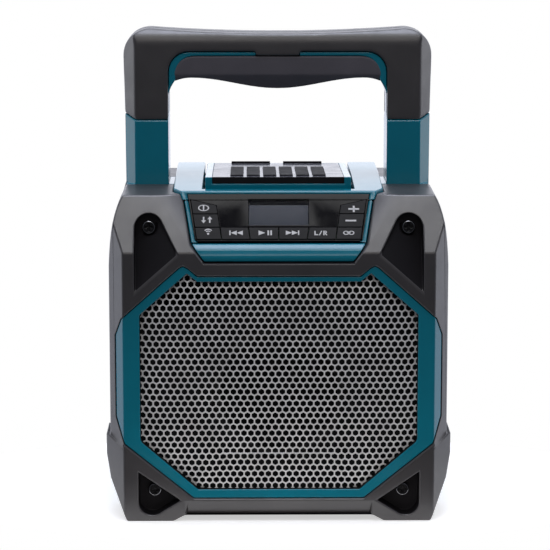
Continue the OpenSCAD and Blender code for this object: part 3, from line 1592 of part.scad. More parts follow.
front_bumper();
rear_bumper();
grille_frame();
grille();
trim_strip();
cabinet_front();
cabinet_rear();
cabinet_seal();
baffle();
woofer_basket();
woofer_magnet();
woofer_cone();
woofer_surround();
woofer_spider();
voice_coil();
tweeter_frame();
tweeter_dome();
tweeter_magnet();
driver_screws();
top_housing();
fascia();
display_window();
display();
key_power();
key_tone();
key_wireless();
key_previous();
key_play();
key_next();
key_channel();
key_link();
key_plus();
key_minus();
key_board();
key_switches();
main_board();
handle_core();
handle_cover_front();
handle_cover_rear();
grip_pad();
handle_screws();
battery_door();
door_seal();
door_pin();
locking_lever();
lever_insert();
lever_pin();
battery_bay();
battery_terminal();
battery_pack();
socket_flap();
flap_pin();
socket_board();
dc_inlet();
audio_socket();
usb_socket();
front_screws();
rear_screws();
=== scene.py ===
"""Looks of a portable jobsite speaker: bumpers, grille, key panel, handle and battery door."""
import json
import logging
import math
from collections.abc import Callable, Iterable
from dataclasses import dataclass, field
from enum import Enum

import bmesh
import bpy
from mathutils import Matrix, Vector
from mathutils.bvhtree import BVHTree


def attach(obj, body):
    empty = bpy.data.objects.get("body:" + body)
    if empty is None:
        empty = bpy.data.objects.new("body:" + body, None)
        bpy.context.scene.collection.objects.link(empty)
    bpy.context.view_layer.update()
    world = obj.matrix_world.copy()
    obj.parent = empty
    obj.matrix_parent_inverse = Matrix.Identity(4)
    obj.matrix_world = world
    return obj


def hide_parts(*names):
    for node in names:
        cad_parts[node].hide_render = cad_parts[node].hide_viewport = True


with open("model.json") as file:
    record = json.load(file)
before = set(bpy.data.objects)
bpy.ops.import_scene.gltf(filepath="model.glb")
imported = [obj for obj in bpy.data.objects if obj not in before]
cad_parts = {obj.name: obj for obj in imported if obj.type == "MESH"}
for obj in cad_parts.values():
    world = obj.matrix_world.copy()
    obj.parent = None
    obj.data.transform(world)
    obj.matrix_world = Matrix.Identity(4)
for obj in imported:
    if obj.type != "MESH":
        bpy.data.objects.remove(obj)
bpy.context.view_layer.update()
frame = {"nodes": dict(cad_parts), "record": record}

MM = 0.001
WELD = 2e-6  # metres within which a solid's points merge
log = logging.getLogger("speaker")

BMesh = bmesh.types.BMesh
BMEdge = bmesh.types.BMEdge
BMFace = bmesh.types.BMFace
BMVert = bmesh.types.BMVert
Socket = bpy.types.NodeSocket
Point2 = tuple[float, float]
Point3 = tuple[float, float, float]
Colour = tuple[float, float, float]
WHITE: Colour = (1.0, 1.0, 1.0)
NOISE_SPAN: Point2 = (0.3, 0.7)  # where most of a noise's values lie


# ------------------------ finishes


class Nodes:
    """Small helper that adds and links the shader nodes of one material or world."""

    octave_weight = 0.55

    def __init__(self, owner: bpy.types.Material | bpy.types.World, shader: str = "Principled BSDF") -> None:
        """Start a node tree.

        Args:
            owner: the new material or world.
            shader: name of the shader node it starts with.
        """
        owner.use_nodes = True
        self.owner = owner
        self.tree = owner.node_tree
        self.shader = self.tree.nodes[shader]
        self.coords = self.add("ShaderNodeTexCoord").outputs
        self.place = self.coords["Object"]

    def add(self, kind: str, **values: float | str | tuple[float, ...]) -> bpy.types.ShaderNode:
        """Add a node and set its plain properties or input sockets.

        Args:
            kind: the node type.
            values: property or socket values by name, with _ for a blank.

        Returns:
            The new node.
        """
        made = self.tree.nodes.new(kind)
        for key, value in values.items():
            socket = made.inputs.get(key.replace("_", " "))
            if socket is not None and not hasattr(made, key):
                socket.default_value = value
            else:
                setattr(made, key, value)
        return made

    def put(self, **values: float | tuple[float, ...]) -> None:
        """Set inputs of the first shader by name, with _ for a blank."""
        for key, value in values.items():
            self.shader.inputs[key.replace("_", " ")].default_value = value

    def link(self, source: Socket, target: Socket) -> None:
        """Link an output to an input."""
        self.tree.links.new(source, target)

    def drive(self, key: str, source: Socket) -> None:
        """Link an output to an input of the first shader."""
        self.link(source, self.shader.inputs[key])

    def join(self, made: bpy.types.ShaderNode, *sources: Socket) -> Socket:
        """Link outputs to a node's first inputs, in order, and give its own output."""
        for source, target in zip(sources, made.inputs):
            self.link(source, target)
        return made.outputs[0]

    def show(self, shader: Socket, output: str) -> None:
        """Link a shader to the output node of a name."""
        self.link(shader, self.tree.nodes[output].inputs["Surface"])

    def noise(self, scale: float, detail: float) -> Socket:
        """Give a noise factor on object coordinates, by its cells per metre and its octaves."""
        made = self.add("ShaderNodeTexNoise", Scale=scale, Detail=detail, Roughness=self.octave_weight)
        self.link(self.place, made.inputs["Vector"])
        return made.outputs["Fac"]

    def ramp(self, value: Socket, low: Colour, high: Colour, span: Point2 = NOISE_SPAN) -> Socket:
        """Turn a value into a colour between two ends.

        Args:
            value: the driving factor.
            low: colour at the low end.
            high: colour at the high end.
            span: factor values of the two ends.

        Returns:
            The colour output.
        """
        made = self.add("ShaderNodeValToRGB")
        for stop, colour, at in zip(made.color_ramp.elements, (low, high), span):
            stop.color = (*colour, 1.0)
            stop.position = at
        self.link(value, made.inputs["Fac"])
        return made.outputs["Color"]

    def between(self, value: Socket, low: float, high: float, span: Point2 = NOISE_SPAN) -> Socket:
        """Map a factor onto a range of numbers.

        Args:
            value: the driving factor.
            low: result at the low end.
            high: result at the high end.
            span: factor values of the two ends.

        Returns:
            The mapped value.
        """
        made = self.add("ShaderNodeMapRange", From_Min=span[0], From_Max=span[1], To_Min=low, To_Max=high)
        self.link(value, made.inputs["Value"])
        return made.outputs["Result"]

    def bump(self, value: Socket, height: float, strength: float, under: Socket | None = None) -> Socket:
        """Turn a height value into a bumped normal.

        Args:
            value: height factor.
            height: depth of the relief in metres.
            strength: weight of the relief.
            under: normal of a coarser relief below this one.

        Returns:
            The normal output.
        """
        made = self.add("ShaderNodeBump", Strength=strength, Distance=height)
        self.link(value, made.inputs["Height"])
        if under is not None:
            self.link(under, made.inputs["Normal"])
        return made.outputs["Normal"]


def shaded(colour: Colour, share: float) -> Colour:
    """Give a colour times a share, each part at most 1."""
    return tuple(min(1.0, c * share) for c in colour)


@dataclass(frozen=True)
class Moulded:
    """A moulded plastic or elastomer with fine grain and faint mottling.

    The grain is a spark-eroded tool texture; colour and gloss drift a little over the surface.
    A noise is given as its cells per metre and its octaves.
    """

    name: str
    colour: Colour
    drift: float = 0.12
    gloss: Point2 = (0.5, 0.62)
    grain: float = 2600.0
    relief: float = 0.00006
    weight: float = 0.35
    specular: float = 0.4
    coat: float = 0.0
    coat_gloss: float = 0.12
    mottle: Point2 = (38.0, 5.0)
    wear: Point2 = (95.0, 4.0)
    ripple: Point2 = (320.0, 2.0)
    ripple_depth: float = 1.5
    ripple_weight: float = 0.35
    grain_octaves: float = 2.0

    def material(self) -> bpy.types.Material:
        """Build and return the node material."""
        n = Nodes(bpy.data.materials.new(self.name))
        dark, pale = shaded(self.colour, 1 - self.drift), shaded(self.colour, 1 + self.drift)
        n.drive("Base Color", n.ramp(n.noise(*self.mottle), dark, pale))
        n.drive("Roughness", n.between(n.noise(*self.wear), *self.gloss))
        deep, weight = self.relief * self.ripple_depth, self.weight * self.ripple_weight
        coarse = n.bump(n.noise(*self.ripple), deep, weight)
        n.drive("Normal", n.bump(n.noise(self.grain, self.grain_octaves), self.relief, self.weight, coarse))
        n.put(Specular_IOR_Level=self.specular, Coat_Weight=self.coat, Coat_Roughness=self.coat_gloss)
        return n.owner


@dataclass(frozen=True)
class SheetMetal:
    """Bare or plated metal with fine directional scratches."""

    name: str
    colour: Colour
    gloss: Point2 = (0.3, 0.45)
    metallic: float = 1.0
    relief: float = 0.00002
    weight: float = 0.4
    specular: float = 0.5
    drift: Point2 = (0.86, 1.1)
    mottle: Point2 = (55.0, 4.0)
    streak: Point2 = (420.0, 4.0)
    stretch: Point3 = (1.0, 1.0, 12.0)

    def material(self) -> bpy.types.Material:
        """Build and return the node material."""
        n = Nodes(bpy.data.materials.new(self.name))
        dark, pale = (shaded(self.colour, share) for share in self.drift)
        along = n.add("ShaderNodeMapping", Scale=self.stretch)
        n.link(n.place, along.inputs["Vector"])
        streak = n.add("ShaderNodeTexNoise", Scale=self.streak[0], Detail=self.streak[1])
        n.link(along.outputs["Vector"], streak.inputs["Vector"])
        n.drive("Base Color", n.ramp(n.noise(*self.mottle), dark, pale))
        n.drive("Roughness", n.between(streak.outputs["Fac"], *self.gloss))
        n.drive("Normal", n.bump(streak.outputs["Fac"], self.relief, self.weight))
        n.put(Metallic=self.metallic, Specular_IOR_Level=self.specular)
        return n.owner


@dataclass(frozen=True)
class GlossPanel:
    """Polished black plastic with faint handling marks in its gloss."""

    name: str
    colour: Colour
    gloss: Point2 = (0.04, 0.08)
    alpha: float = 1.0
    specular: float = 0.18
    drift: float = 1.25
    mottle: Point2 = (70.0, 5.0)
    marks: Point2 = (160.0, 6.0)
    wave: Point2 = (45.0, 1.0)
    relief: float = 0.00003
    weight: float = 0.12

    def material(self) -> bpy.types.Material:
        """Build and return the node material."""
        n = Nodes(bpy.data.materials.new(self.name))
        n.drive("Base Color", n.ramp(n.noise(*self.mottle), self.colour, shaded(self.colour, self.drift)))
        n.drive("Roughness", n.between(n.noise(*self.marks), *self.gloss))
        n.drive("Normal", n.bump(n.noise(*self.wave), self.relief, self.weight))
        n.put(Alpha=self.alpha, Specular_IOR_Level=self.specular)
        return n.owner


@dataclass(frozen=True)
class LiquidCrystal:
    """Unlit display glass with a faint cell grid: a blue grey that darkens downward, a painted reflection."""

    name: str
    high: Colour
    low: Colour
    ends: Point2
    gloss: float = 0.25
    cells: float = 900.0
    relief: float = 0.00001
    weight: float = 0.2

    def material(self) -> bpy.types.Material:
        """Build and return the node material."""
        n = Nodes(bpy.data.materials.new(self.name))
        split = n.add("ShaderNodeSeparateXYZ")
        n.link(n.place, split.inputs["Vector"])
        # painted reflection: the glass colour is paler at the top and darker below
        painted_glare = n.between(split.outputs["Z"], 0.0, 1.0, self.ends)
        n.drive("Base Color", n.ramp(painted_glare, self.low, self.high, (0.0, 1.0)))
        grid = n.add("ShaderNodeTexBrick", Scale=self.cells)
        n.link(n.place, grid.inputs["Vector"])
        n.drive("Normal", n.bump(grid.outputs["Fac"], self.relief, self.weight))
        n.put(Roughness=self.gloss)
        return n.owner


@dataclass(frozen=True)
class Circuit:
    """Lacquered laminate with a regular network of tracks."""

    name: str
    colour: Colour
    track: Colour
    shade: float = 0.8
    cells: float = 120.0
    gloss: float = 0.35

    def material(self) -> bpy.types.Material:
        """Build and return the node material."""
        n = Nodes(bpy.data.materials.new(self.name))
        grid = n.add("ShaderNodeTexBrick", Scale=self.cells)
        colours = (self.colour, shaded(self.colour, self.shade), self.track)
        for key, colour in zip(("Color1", "Color2", "Mortar"), colours):
            grid.inputs[key].default_value = (*colour, 1.0)
        n.link(n.place, grid.inputs["Vector"])
        n.drive("Base Color", grid.outputs["Color"])
        n.put(Roughness=self.gloss)
        return n.owner


class Finish(Enum):
    """Finishes of the object, each made once."""

    ELASTOMER = Moulded("elastomer", (0.033, 0.03, 0.031), gloss=(0.34, 0.42), specular=1.0, relief=0.00005,
                        weight=0.3)
    GRIP = Moulded("grip_elastomer", (0.085, 0.08, 0.094), grain=1500.0, relief=0.0001, weight=0.4)
    # Black pad rubber of the lever's ribs; also laid as painted shade on bumper pockets, crossbar edge and
    # lever nose.
    PADS = Moulded("pad_elastomer_and_painted_shade", (0.01, 0.0092, 0.0105), gloss=(0.5, 0.6), grain=1800.0, specular=0.1)
    TEAL = Moulded("teal_plastic", (0.002, 0.162, 0.228), drift=0.05, gloss=(0.12, 0.18), grain=3200.0,
                   relief=0.00001, weight=0.1, specular=0.25, coat=0.4)
    INSERT = Moulded("insert_plastic", (0.07, 0.07, 0.085), gloss=(0.16, 0.24), grain=2400.0,
                     relief=0.00002, weight=0.15, specular=0.28)
    KEYS = Moulded("key_plastic", (0.022, 0.022, 0.023), drift=0.08, gloss=(0.36, 0.44), grain=3600.0,
                   relief=0.00002, weight=0.15, specular=0.12)
    PANEL = GlossPanel("gloss_panel", (0.004, 0.0038, 0.0048))
    LENS = GlossPanel("display_lens", (0.012, 0.013, 0.017), gloss=(0.03, 0.05), alpha=0.22)
    CRYSTAL = LiquidCrystal("liquid_crystal", (0.056, 0.078, 0.135), (0.033, 0.047, 0.085), (0.1822, 0.1969))
    PRINT = Moulded("white_print", (0.62, 0.62, 0.62), drift=0.04, gloss=(0.4, 0.5), relief=0.00001,
                    weight=0.1)
    GRILLE = SheetMetal("grille_steel", (0.72, 0.715, 0.71), gloss=(0.34, 0.46), metallic=0.2)
    SCREW = SheetMetal("black_screw", (0.012, 0.012, 0.013), gloss=(0.16, 0.24), metallic=0.0, specular=0.15)
    # Pale polished metal laid on the rims of the black screw heads as a painted highlight.
    RIM = SheetMetal("painted_glint_rim", (0.3, 0.3, 0.31), gloss=(0.12, 0.2))
    STEEL = SheetMetal("bright_steel", (0.62, 0.62, 0.63), gloss=(0.2, 0.3))
    MAGNET = SheetMetal("plated_magnet", (0.3, 0.3, 0.31), gloss=(0.35, 0.5))
    COIL = SheetMetal("wound_copper", (0.72, 0.4, 0.22), gloss=(0.25, 0.35))
    # Matt black inner plastic; also laid as painted shade on the grille frame's faces behind the sheet.
    INNER = Moulded("matt_inner_plastic_and_painted_shade", (0.01, 0.01, 0.0105), gloss=(0.5, 0.6), relief=0.00004,
                    specular=0.1)
    SEAL = Moulded("soft_seal", (0.012, 0.012, 0.012), gloss=(0.6, 0.7), grain=1800.0, specular=0.25)
    CONE = Moulded("pressed_fibre", (0.006, 0.006, 0.0062), drift=0.3, gloss=(0.6, 0.75), grain=900.0,
                   relief=0.00015, weight=0.6, specular=0.06)
    BOARD = Circuit("laminate", (0.01, 0.09, 0.04), (0.05, 0.2, 0.09))

    def get(self) -> bpy.types.Material:
        """Return the material, made on first use."""
        return bpy.data.materials.get(self.value.name) or self.value.material()


# ------------------------ mesh helpers


BODY_OF: dict[str, str] = {
    node: body for body, nodes in frame["record"]["behaviour"]["bodies"].items() for node in nodes
}


def points_of(geom: Iterable[BMVert | BMEdge | BMFace]) -> list[BMVert]:
    """Pick the points out of what a mesh operator returned."""
    return [g for g in geom if isinstance(g, BMVert)]


def middle(edge: BMEdge) -> Vector:
    """Give an edge's middle, in millimetres."""
    return (edge.verts[0].co + edge.verts[1].co) / (2 * MM)


def copy_of(node: str) -> BMesh:
    """Copy a node's solid, in metres, with its points merged."""
    bm = bmesh.new()
    bm.from_mesh(frame["nodes"][node].data)
    bmesh.ops.remove_doubles(bm, verts=bm.verts, dist=WELD)
    return bm


def slice_faces(bm: BMesh, faces: Iterable[BMFace], at: Vector | Point3, out: Vector | Point3, near: float,
                clear: bool) -> list[BMVert]:
    """Cut faces along a plane.

    Args:
        bm: the mesh.
        faces: the faces to cut.
        at: a point of the plane.
        out: the plane's normal.
        near: distance within which a point counts as on the plane.
        clear: whether what lies beyond the plane goes.

    Returns:
        The points on the cut.
    """
    geom = list(dict.fromkeys(g for f in faces for g in (f, *f.edges, *f.verts)))
    done = bmesh.ops.bisect_plane(bm, geom=geom, dist=near, plane_co=at, plane_no=out, clear_outer=clear)
    return points_of(done["geom_cut"])


def set_smooth(bm: BMesh, angle: float = 33.0) -> None:
    """Shade smooth, with open edges and edges sharper than an angle in degrees kept crisp."""
    for face in bm.faces:
        face.smooth = True
    for edge in bm.edges:
        edge.smooth = edge.calc_face_angle(math.tau) < math.radians(angle)


def piece_from(bm: BMesh, name: str, body: str, finish: Finish) -> bpy.types.Object:
    """Make an object of a mesh, dress it and let it ride on a body.

    Args:
        bm: the mesh, freed here.
        name: the piece's name.
        body: the body it rides on.
        finish: its finish.

    Returns:
        The new object.
    """
    mesh = bpy.data.meshes.new(name)
    bm.to_mesh(mesh)
    bm.free()
    mesh.materials.append(finish.get())
    made = bpy.data.objects.new(name, mesh)
    bpy.context.scene.collection.objects.link(made)
    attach(made, body)
    log.info("piece %s on %s: %d faces", name, body, len(mesh.polygons))
    return made


def dress_node(node: str, finish: Finish) -> None:
    """Give a kept node its finish."""
    mesh = frame["nodes"][node].data
    mesh.materials.clear()
    mesh.materials.append(finish.get())
    log.info("node %s: %s", node, finish.name)


def repaint(piece: bpy.types.Object, finish: Finish, where: Callable[[Vector, Vector], bool]) -> None:
    """Give some faces of a piece a second finish.

    Args:
        piece: the piece.
        finish: the second finish.
        where: test of a face's middle, in millimetres, and its normal.
    """
    mesh = piece.data
    mesh.materials.append(finish.get())
    for face in mesh.polygons:
        if where(face.center / MM, face.normal):
            face.material_index = len(mesh.materials) - 1


@dataclass
class Softened:
    """A solid of the frame, copied with its hard edges rounded.

    Edges that `rolled` picks by their middles get the wide rounding `roll` first, and edges that
    `sharp` picks stay as they are. Lengths are millimetres and angles degrees.
    """

    node: str
    finish: Finish
    radius: float
    segments: int = 3
    limit: float = 24.0
    flat: float = 0.3
    roll: float = 0.0
    roll_segments: int = 6
    rolled: Callable[[Vector], bool] | None = None
    sharp: Callable[[Vector], bool] | None = None
    thrown: float = 1.1
    raised: float = 0.55

    def build(self) -> bpy.types.Object:
        """Copy, merge and bevel the solid, and give the piece that stands for the node."""
        bm = copy_of(self.node)
        bmesh.ops.dissolve_limit(bm, angle_limit=math.radians(self.flat), verts=bm.verts, edges=bm.edges)
        skin = BVHTree.FromBMesh(bm)
        if self.rolled is not None:
            wide = [e for e in bm.edges if self.rolled(middle(e))]
            self.round_off(bm, wide, self.roll, self.roll_segments)
        hard = [e for e in bm.edges if e.calc_face_angle(0.0) > math.radians(self.limit)]
        if self.sharp is not None:
            hard = [e for e in hard if not self.sharp(middle(e))]
        self.round_off(bm, hard, self.radius, self.segments)
        self.settle(bm, skin)
        set_smooth(bm)
        piece = piece_from(bm, f"{self.node}_form", BODY_OF[self.node], self.finish)
        even = piece.modifiers.new("even_normals", "WEIGHTED_NORMAL")
        even.keep_sharp = True
        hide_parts(self.node)
        return piece

    @staticmethod
    def round_off(bm: BMesh, edges: list[BMEdge], radius: float, segments: int) -> None:
        """Round edges over a radius in millimetres, with a number of faces across it."""
        bmesh.ops.bevel(bm, geom=edges, offset=radius * MM, offset_type="OFFSET", segments=segments,
                        profile=0.5, affect="EDGES", clamp_overlap=False, material=-1)

    def settle(self, bm: BMesh, skin: BVHTree) -> None:
        """Bring corner points that the rounding threw off the solid back onto the skin it had before."""
        far, high = self.thrown * self.radius * MM, self.raised * self.radius * MM
        gaps: list[float] = []
        for vert in bm.verts:
            spot, normal, _, gap = skin.find_nearest(vert.co)
            if gap > far or (gap > high and (vert.co - spot).dot(normal) > 0):
                gaps.append(gap / MM)
                vert.co = spot
        if gaps:
            log.info("%s: %d corner points settled, furthest %.2f mm", self.node, len(gaps), max(gaps))


@dataclass
class Remoulded:
    """A solid of the frame, recast in fine even cells and smoothed, for soft moulded edges."""

    node: str
    finish: Finish
    cell: float
    rounds: int
    shape: Callable[[BMesh], None] | None = None
    pull: float = 0.5

    def build(self) -> bpy.types.Object:
        """Copy the solid, soften it with modifiers and give the piece that stands for the node."""
        bm = copy_of(self.node)
        if self.shape is not None:
            self.shape(bm)
        piece = piece_from(bm, f"{self.node}_form", BODY_OF[self.node], self.finish)
        recast = piece.modifiers.new("even_cells", "REMESH")
        recast.mode = "VOXEL"
        recast.voxel_size = self.cell * MM
        recast.use_smooth_shade = True
        soft = piece.modifiers.new("soft_edges", "SMOOTH")
        soft.factor = self.pull
        soft.iterations = self.rounds
        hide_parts(self.node)
        return piece


def inside(outline: tuple[Point2, ...], x: float, z: float) -> bool:
    """Say whether a point lies in a convex outline that runs anticlockwise."""
    sides = zip(outline, outline[1:] + outline[:1])
    return all((b[0] - a[0]) * (z - a[1]) - (b[1] - a[1]) * (x - a[0]) >= 0 for a, b in sides)


# ------------------------ sub-assemblies
# Lengths in these classes are millimetres in the frame's axes, unless they say otherwise.


@dataclass
class Bumpers:
    """Front and rear elastomer bumpers with their screws."""

    radius: float = 1.1
    screw_radius: float = 0.6
    screws: tuple[Point2, Point2] = ((79.6, 182.0), (76.9, 18.2))
    rim_in: float = 3.2
    rim_tilt: Point2 = (0.12, 0.97)
    front_y: float = -90.0
    crease_z: float = 168.0
    pad_slope: float = 0.606
    ledge: Point2 = (50.0, 161.0)
    ledge_half: float = 2.5
    ledge_tilt: float = 0.3
    pocket_in: float = 0.8
    pockets: tuple[tuple[Point2, ...], ...] = (
        ((61.0, 165.5), (89.0, 141.5), (89.0, 190.5), (79.6, 191.5), (70.5, 187.0)),
        ((61.0, 13.0), (74.0, 3.8), (82.0, 3.8), (87.0, 8.0), (87.0, 31.5)))

    def in_pocket(self, at: Vector) -> bool:
        """Say whether a point lies inside a screw pocket of the front bumper; pockets get painted shade."""
        skin = self.front_y + max(0.0, at.z - self.crease_z) * self.pad_slope
        x = abs(at.x)
        return at.y > skin + self.pocket_in and any(inside(pocket, x, at.z) for pocket in self.pockets)

    def on_shaded_ledge(self, at: Vector, out: Vector) -> bool:
        """Say whether a face belongs to the crossbar's upper edge, painted dark as the strip's shade."""
        near = abs(at.x) < self.ledge[0] and abs(at.z - self.ledge[1]) < self.ledge_half
        return near and out.z > self.ledge_tilt

    def on_glint_rim(self, at: Vector, out: Vector) -> bool:
        """Say whether a face belongs to the rounded rim of a screw head, painted pale as a highlight."""
        reach = min(math.hypot(abs(at.x) - x, at.z - z) for x, z in self.screws)
        return reach > self.rim_in and self.rim_tilt[0] < abs(out.y) < self.rim_tilt[1]

    def build(self) -> None:
        """Round the bumpers, paint shade into the pockets and onto the crossbar's edge, and dress the screws
        with painted rim highlights.
        """
        Softened("rear_bumper", Finish.ELASTOMER, self.radius).build()
        front = Softened("front_bumper", Finish.ELASTOMER, self.radius).build()
        # painted shade: the screw pockets and the crossbar's upper edge get the dark pad finish
        repaint(front, Finish.PADS, lambda at, out: self.in_pocket(at) or self.on_shaded_ledge(at, out))
        for node in ("front_screws", "rear_screws"):
            # painted highlight: the rims of the screw heads get a pale polished metal finish
            repaint(Softened(node, Finish.SCREW, self.screw_radius).build(), Finish.RIM, self.on_glint_rim)


@dataclass
class Grille:
    """Perforated steel sheet, bent back around its edge, in its teal frame.

    The outline and the notch at its top are points of the right half, from the foot upward. The
    plate is a sunken field at the foot, given by half its width and its height at top and foot.
    """

    pitch: float = 4.3
    hole: float = 3.46
    corner_out: float = 1.12
    sheet: float = 0.8
    face_y: float = -87.5
    rim: float = 10.0
    rim_depth: float = 2.6
    rim_curve: float = 1.6
    sides: int = 12
    outline: tuple[Point2, ...] = ((50.0, 20.0), (84.3, 49.6), (85.3, 51.6), (85.3, 129.5), (56.2, 155.3))
    notch: tuple[Point2, Point2] = ((50.0, 150.2), (56.2, 155.3))
    gap: float = 0.3
    margin: Point2 = (4.0, 2.0)
    weld: float = 0.02
    near: float = 1e-4
    crisp: float = 40.0
    plate: tuple[float, float, float, float] = (32.8, 42.0, 45.5, 20.0)
    plate_in: float = 1.3
    frame_radius: float = 0.7
    frame_in: float = 0.4
    strip_radius: float = 0.8
    strip_roll: float = 1.5
    strip_front: float = -85.0
    strip_creases: Point2 = (165.5, 170.0)
    strip_near: Point2 = (1.0, 0.3)

    def on_strip(self, at: Vector) -> bool:
        """Say whether an edge's middle lies on one of the long creases of the strip's face."""
        off = min(abs(at.z - crease) for crease in self.strip_creases)
        return abs(at.x) < self.strip_near[0] and at.y < self.strip_front and off < self.strip_near[1]

    def shaded_in_frame(self, at: Vector, out: Vector) -> bool:
        """Say whether a face of the ring lies behind the sheet, where it is painted near-black as shade."""
        return at.y > self.face_y + self.frame_in and self.reaches(at.x, at.z)

    def build(self) -> None:
        """Make the sheet and round its frame, painting shade on the frame's faces behind the sheet."""
        ring = Softened("grille_frame", Finish.TEAL, self.frame_radius).build()
        # painted shade: the ring's faces behind the sheet get the near-black inner finish
        repaint(ring, Finish.INNER, self.shaded_in_frame)
        Softened("trim_strip", Finish.TEAL, self.strip_radius, roll=self.strip_roll,
                 rolled=self.on_strip).build()
        self.sheet_piece()

    @staticmethod
    def at_corner(vert: BMVert) -> bool:
        """Say whether a point of a cell lies toward one of its six corners."""
        return abs(math.degrees(math.atan2(vert.co.z, vert.co.x)) % 60 - 30) < 1

    def cell(self, bm: BMesh) -> list[BMFace]:
        """Make one six-sided cell with its round hole, lying in XZ, and give its faces."""
        turn = Matrix.Rotation(math.radians(90), 4, "X")
        ring = bmesh.ops.create_circle(bm, segments=self.sides, radius=self.hole / 2, matrix=turn)["verts"]
        edges = list(dict.fromkeys(e for v in ring for e in v.link_edges))
        grown = bmesh.ops.extrude_edge_only(bm, edges=edges)["geom"]
        corner = self.pitch / math.sqrt(3)
        for vert in points_of(grown):
            vert.co = vert.co.normalized() * (corner if self.at_corner(vert) else self.pitch / 2)
        for vert in ring:
            if self.at_corner(vert):
                vert.co *= self.corner_out
        return [g for g in grown if isinstance(g, BMFace)]

    def depth(self, x: float, z: float) -> float:
        """Give how far the sheet lies behind the flat of the face, at a point across and up."""
        x = abs(x)
        top_x, top_z, low_x, low_z = self.plate
        if z < top_z and x < low_x - (low_x - top_x) * (z - low_z) / (top_z - low_z):
            return self.plate_in
        near = min(self.room(x, z, a, b) for a, b in self.walls())
        return self.rim_depth * max(0.0, 1 - near / self.rim) ** self.rim_curve

    def walls(self) -> list[tuple[Point2, Point2]]:
        """List the outline's sides on the right half, each from point to point."""
        p = self.outline
        valley, peak = self.notch
        return [((0.0, p[0][1]), p[0]), (p[0], p[1]), (p[2], p[3]), (p[3], p[4]),
                (peak, valley), (valley, (0.0, valley[1]))]

    @staticmethod
    def room(x: float, z: float, a: Point2, b: Point2) -> float:
        """Measure the distance from a point to the nearest point of the side from a to b."""
        run = Vector((b[0] - a[0], b[1] - a[1]))
        t = max(0.0, min(1.0, ((x - a[0]) * run.x + (z - a[1]) * run.y) / run.length_squared))
        return math.hypot(x - a[0] - run.x * t, z - a[1] - run.y * t)

    def trim(self, bm: BMesh) -> None:
        """Cut the sheet, lying in XZ, to the frame's opening."""
        def cut(faces: Iterable[BMFace], a: Point2, b: Point2, side: int = 1) -> None:
            """Cut faces along a side of the right half, or its mirror image, and drop what lies beyond."""
            if side < 0:
                a, b = (-b[0], b[1]), (-a[0], a[1])
            run = Vector((b[0] - a[0], 0.0, b[1] - a[1])).normalized()
            out = Vector((run.z, 0.0, -run.x))
            slice_faces(bm, faces, Vector((a[0], 0.0, a[1])) - out * self.gap, out, self.near, True)

        foot = self.outline[0]
        valley, peak = self.notch
        for side in (1, -1):
            for a, b in zip(self.outline, self.outline[1:]):
                cut(bm.faces, a, b, side)
        cut(bm.faces, (-foot[0], foot[1]), foot)
        for side in (1, -1):
            slice_faces(bm, bm.faces, (valley[0] * side, 0, 0), (1, 0, 0), self.near, False)
        inner = [f for f in bm.faces if abs(f.calc_center_median().x) < valley[0]]
        cut(inner, valley, (-valley[0], valley[1]))
        for side in (1, -1):
            outer = [f for f in bm.faces if f.calc_center_median().x * side > valley[0]]
            cut(outer, peak, valley, side)

    def sheet_piece(self) -> bpy.types.Object:
        """Repeat the cell over the face, cut, bend and thicken it, and give the grille's piece."""
        bm = bmesh.new()
        first = self.cell(bm)
        row = self.pitch * math.sin(math.radians(60))
        low, high = self.outline[0][1] - self.margin[1], self.outline[-1][1] + self.margin[1]
        half = int((self.outline[2][0] + self.margin[0]) / self.pitch) + 1
        for j in range(int((high - low) / row) + 1):
            shift = self.pitch / 2 * (j % 2)
            for i in range(-half, half + 1):
                x, z = i * self.pitch + shift, low + j * row
                if self.reaches(x, z):
                    copy = bmesh.ops.duplicate(bm, geom=first)["geom"]
                    bmesh.ops.translate(bm, verts=points_of(copy), vec=(x, 0, z))
        bmesh.ops.delete(bm, geom=first, context="FACES")
        bmesh.ops.delete(bm, geom=[v for v in bm.verts if not v.link_faces], context="VERTS")
        bmesh.ops.remove_doubles(bm, verts=bm.verts, dist=self.weld)
        self.trim(bm)
        bmesh.ops.remove_doubles(bm, verts=bm.verts, dist=self.weld)
        for vert in bm.verts:
            vert.co.y = self.face_y + self.depth(vert.co.x, vert.co.z)
        bmesh.ops.scale(bm, verts=bm.verts, vec=(MM, MM, MM))
        bmesh.ops.recalc_face_normals(bm, faces=bm.faces)
        if sum(f.normal.y for f in bm.faces) > 0:
            bmesh.ops.reverse_faces(bm, faces=bm.faces)
        bmesh.ops.solidify(bm, geom=bm.faces[:], thickness=self.sheet * MM)
        set_smooth(bm, self.crisp)
        piece = piece_from(bm, "grille_sheet", "body", Finish.GRILLE)
        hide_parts("grille")
        return piece

    def reaches(self, x: float, z: float) -> bool:
        """Say whether a cell at a point touches the opening."""
        x = abs(x)
        valley = self.notch[0]
        hull = ((0.0, self.outline[0][1]), *self.outline, (0.0, self.outline[-1][1]))
        within = inside(hull, x, z) and (x >= valley[0] or z < valley[1])
        return within or min(self.room(x, z, a, b) for a, b in self.walls()) < self.pitch


class Symbol(Enum):
    """Signs printed on the keys."""

    POWER = "key_power"
    TONE = "key_tone"
    WIRELESS = "key_wireless"
    PREVIOUS = "key_previous"
    PLAY = "key_play"
    NEXT = "key_next"
    CHANNEL = "key_channel"
    LINK = "key_link"
    PLUS = "key_plus"
    MINUS = "key_minus"


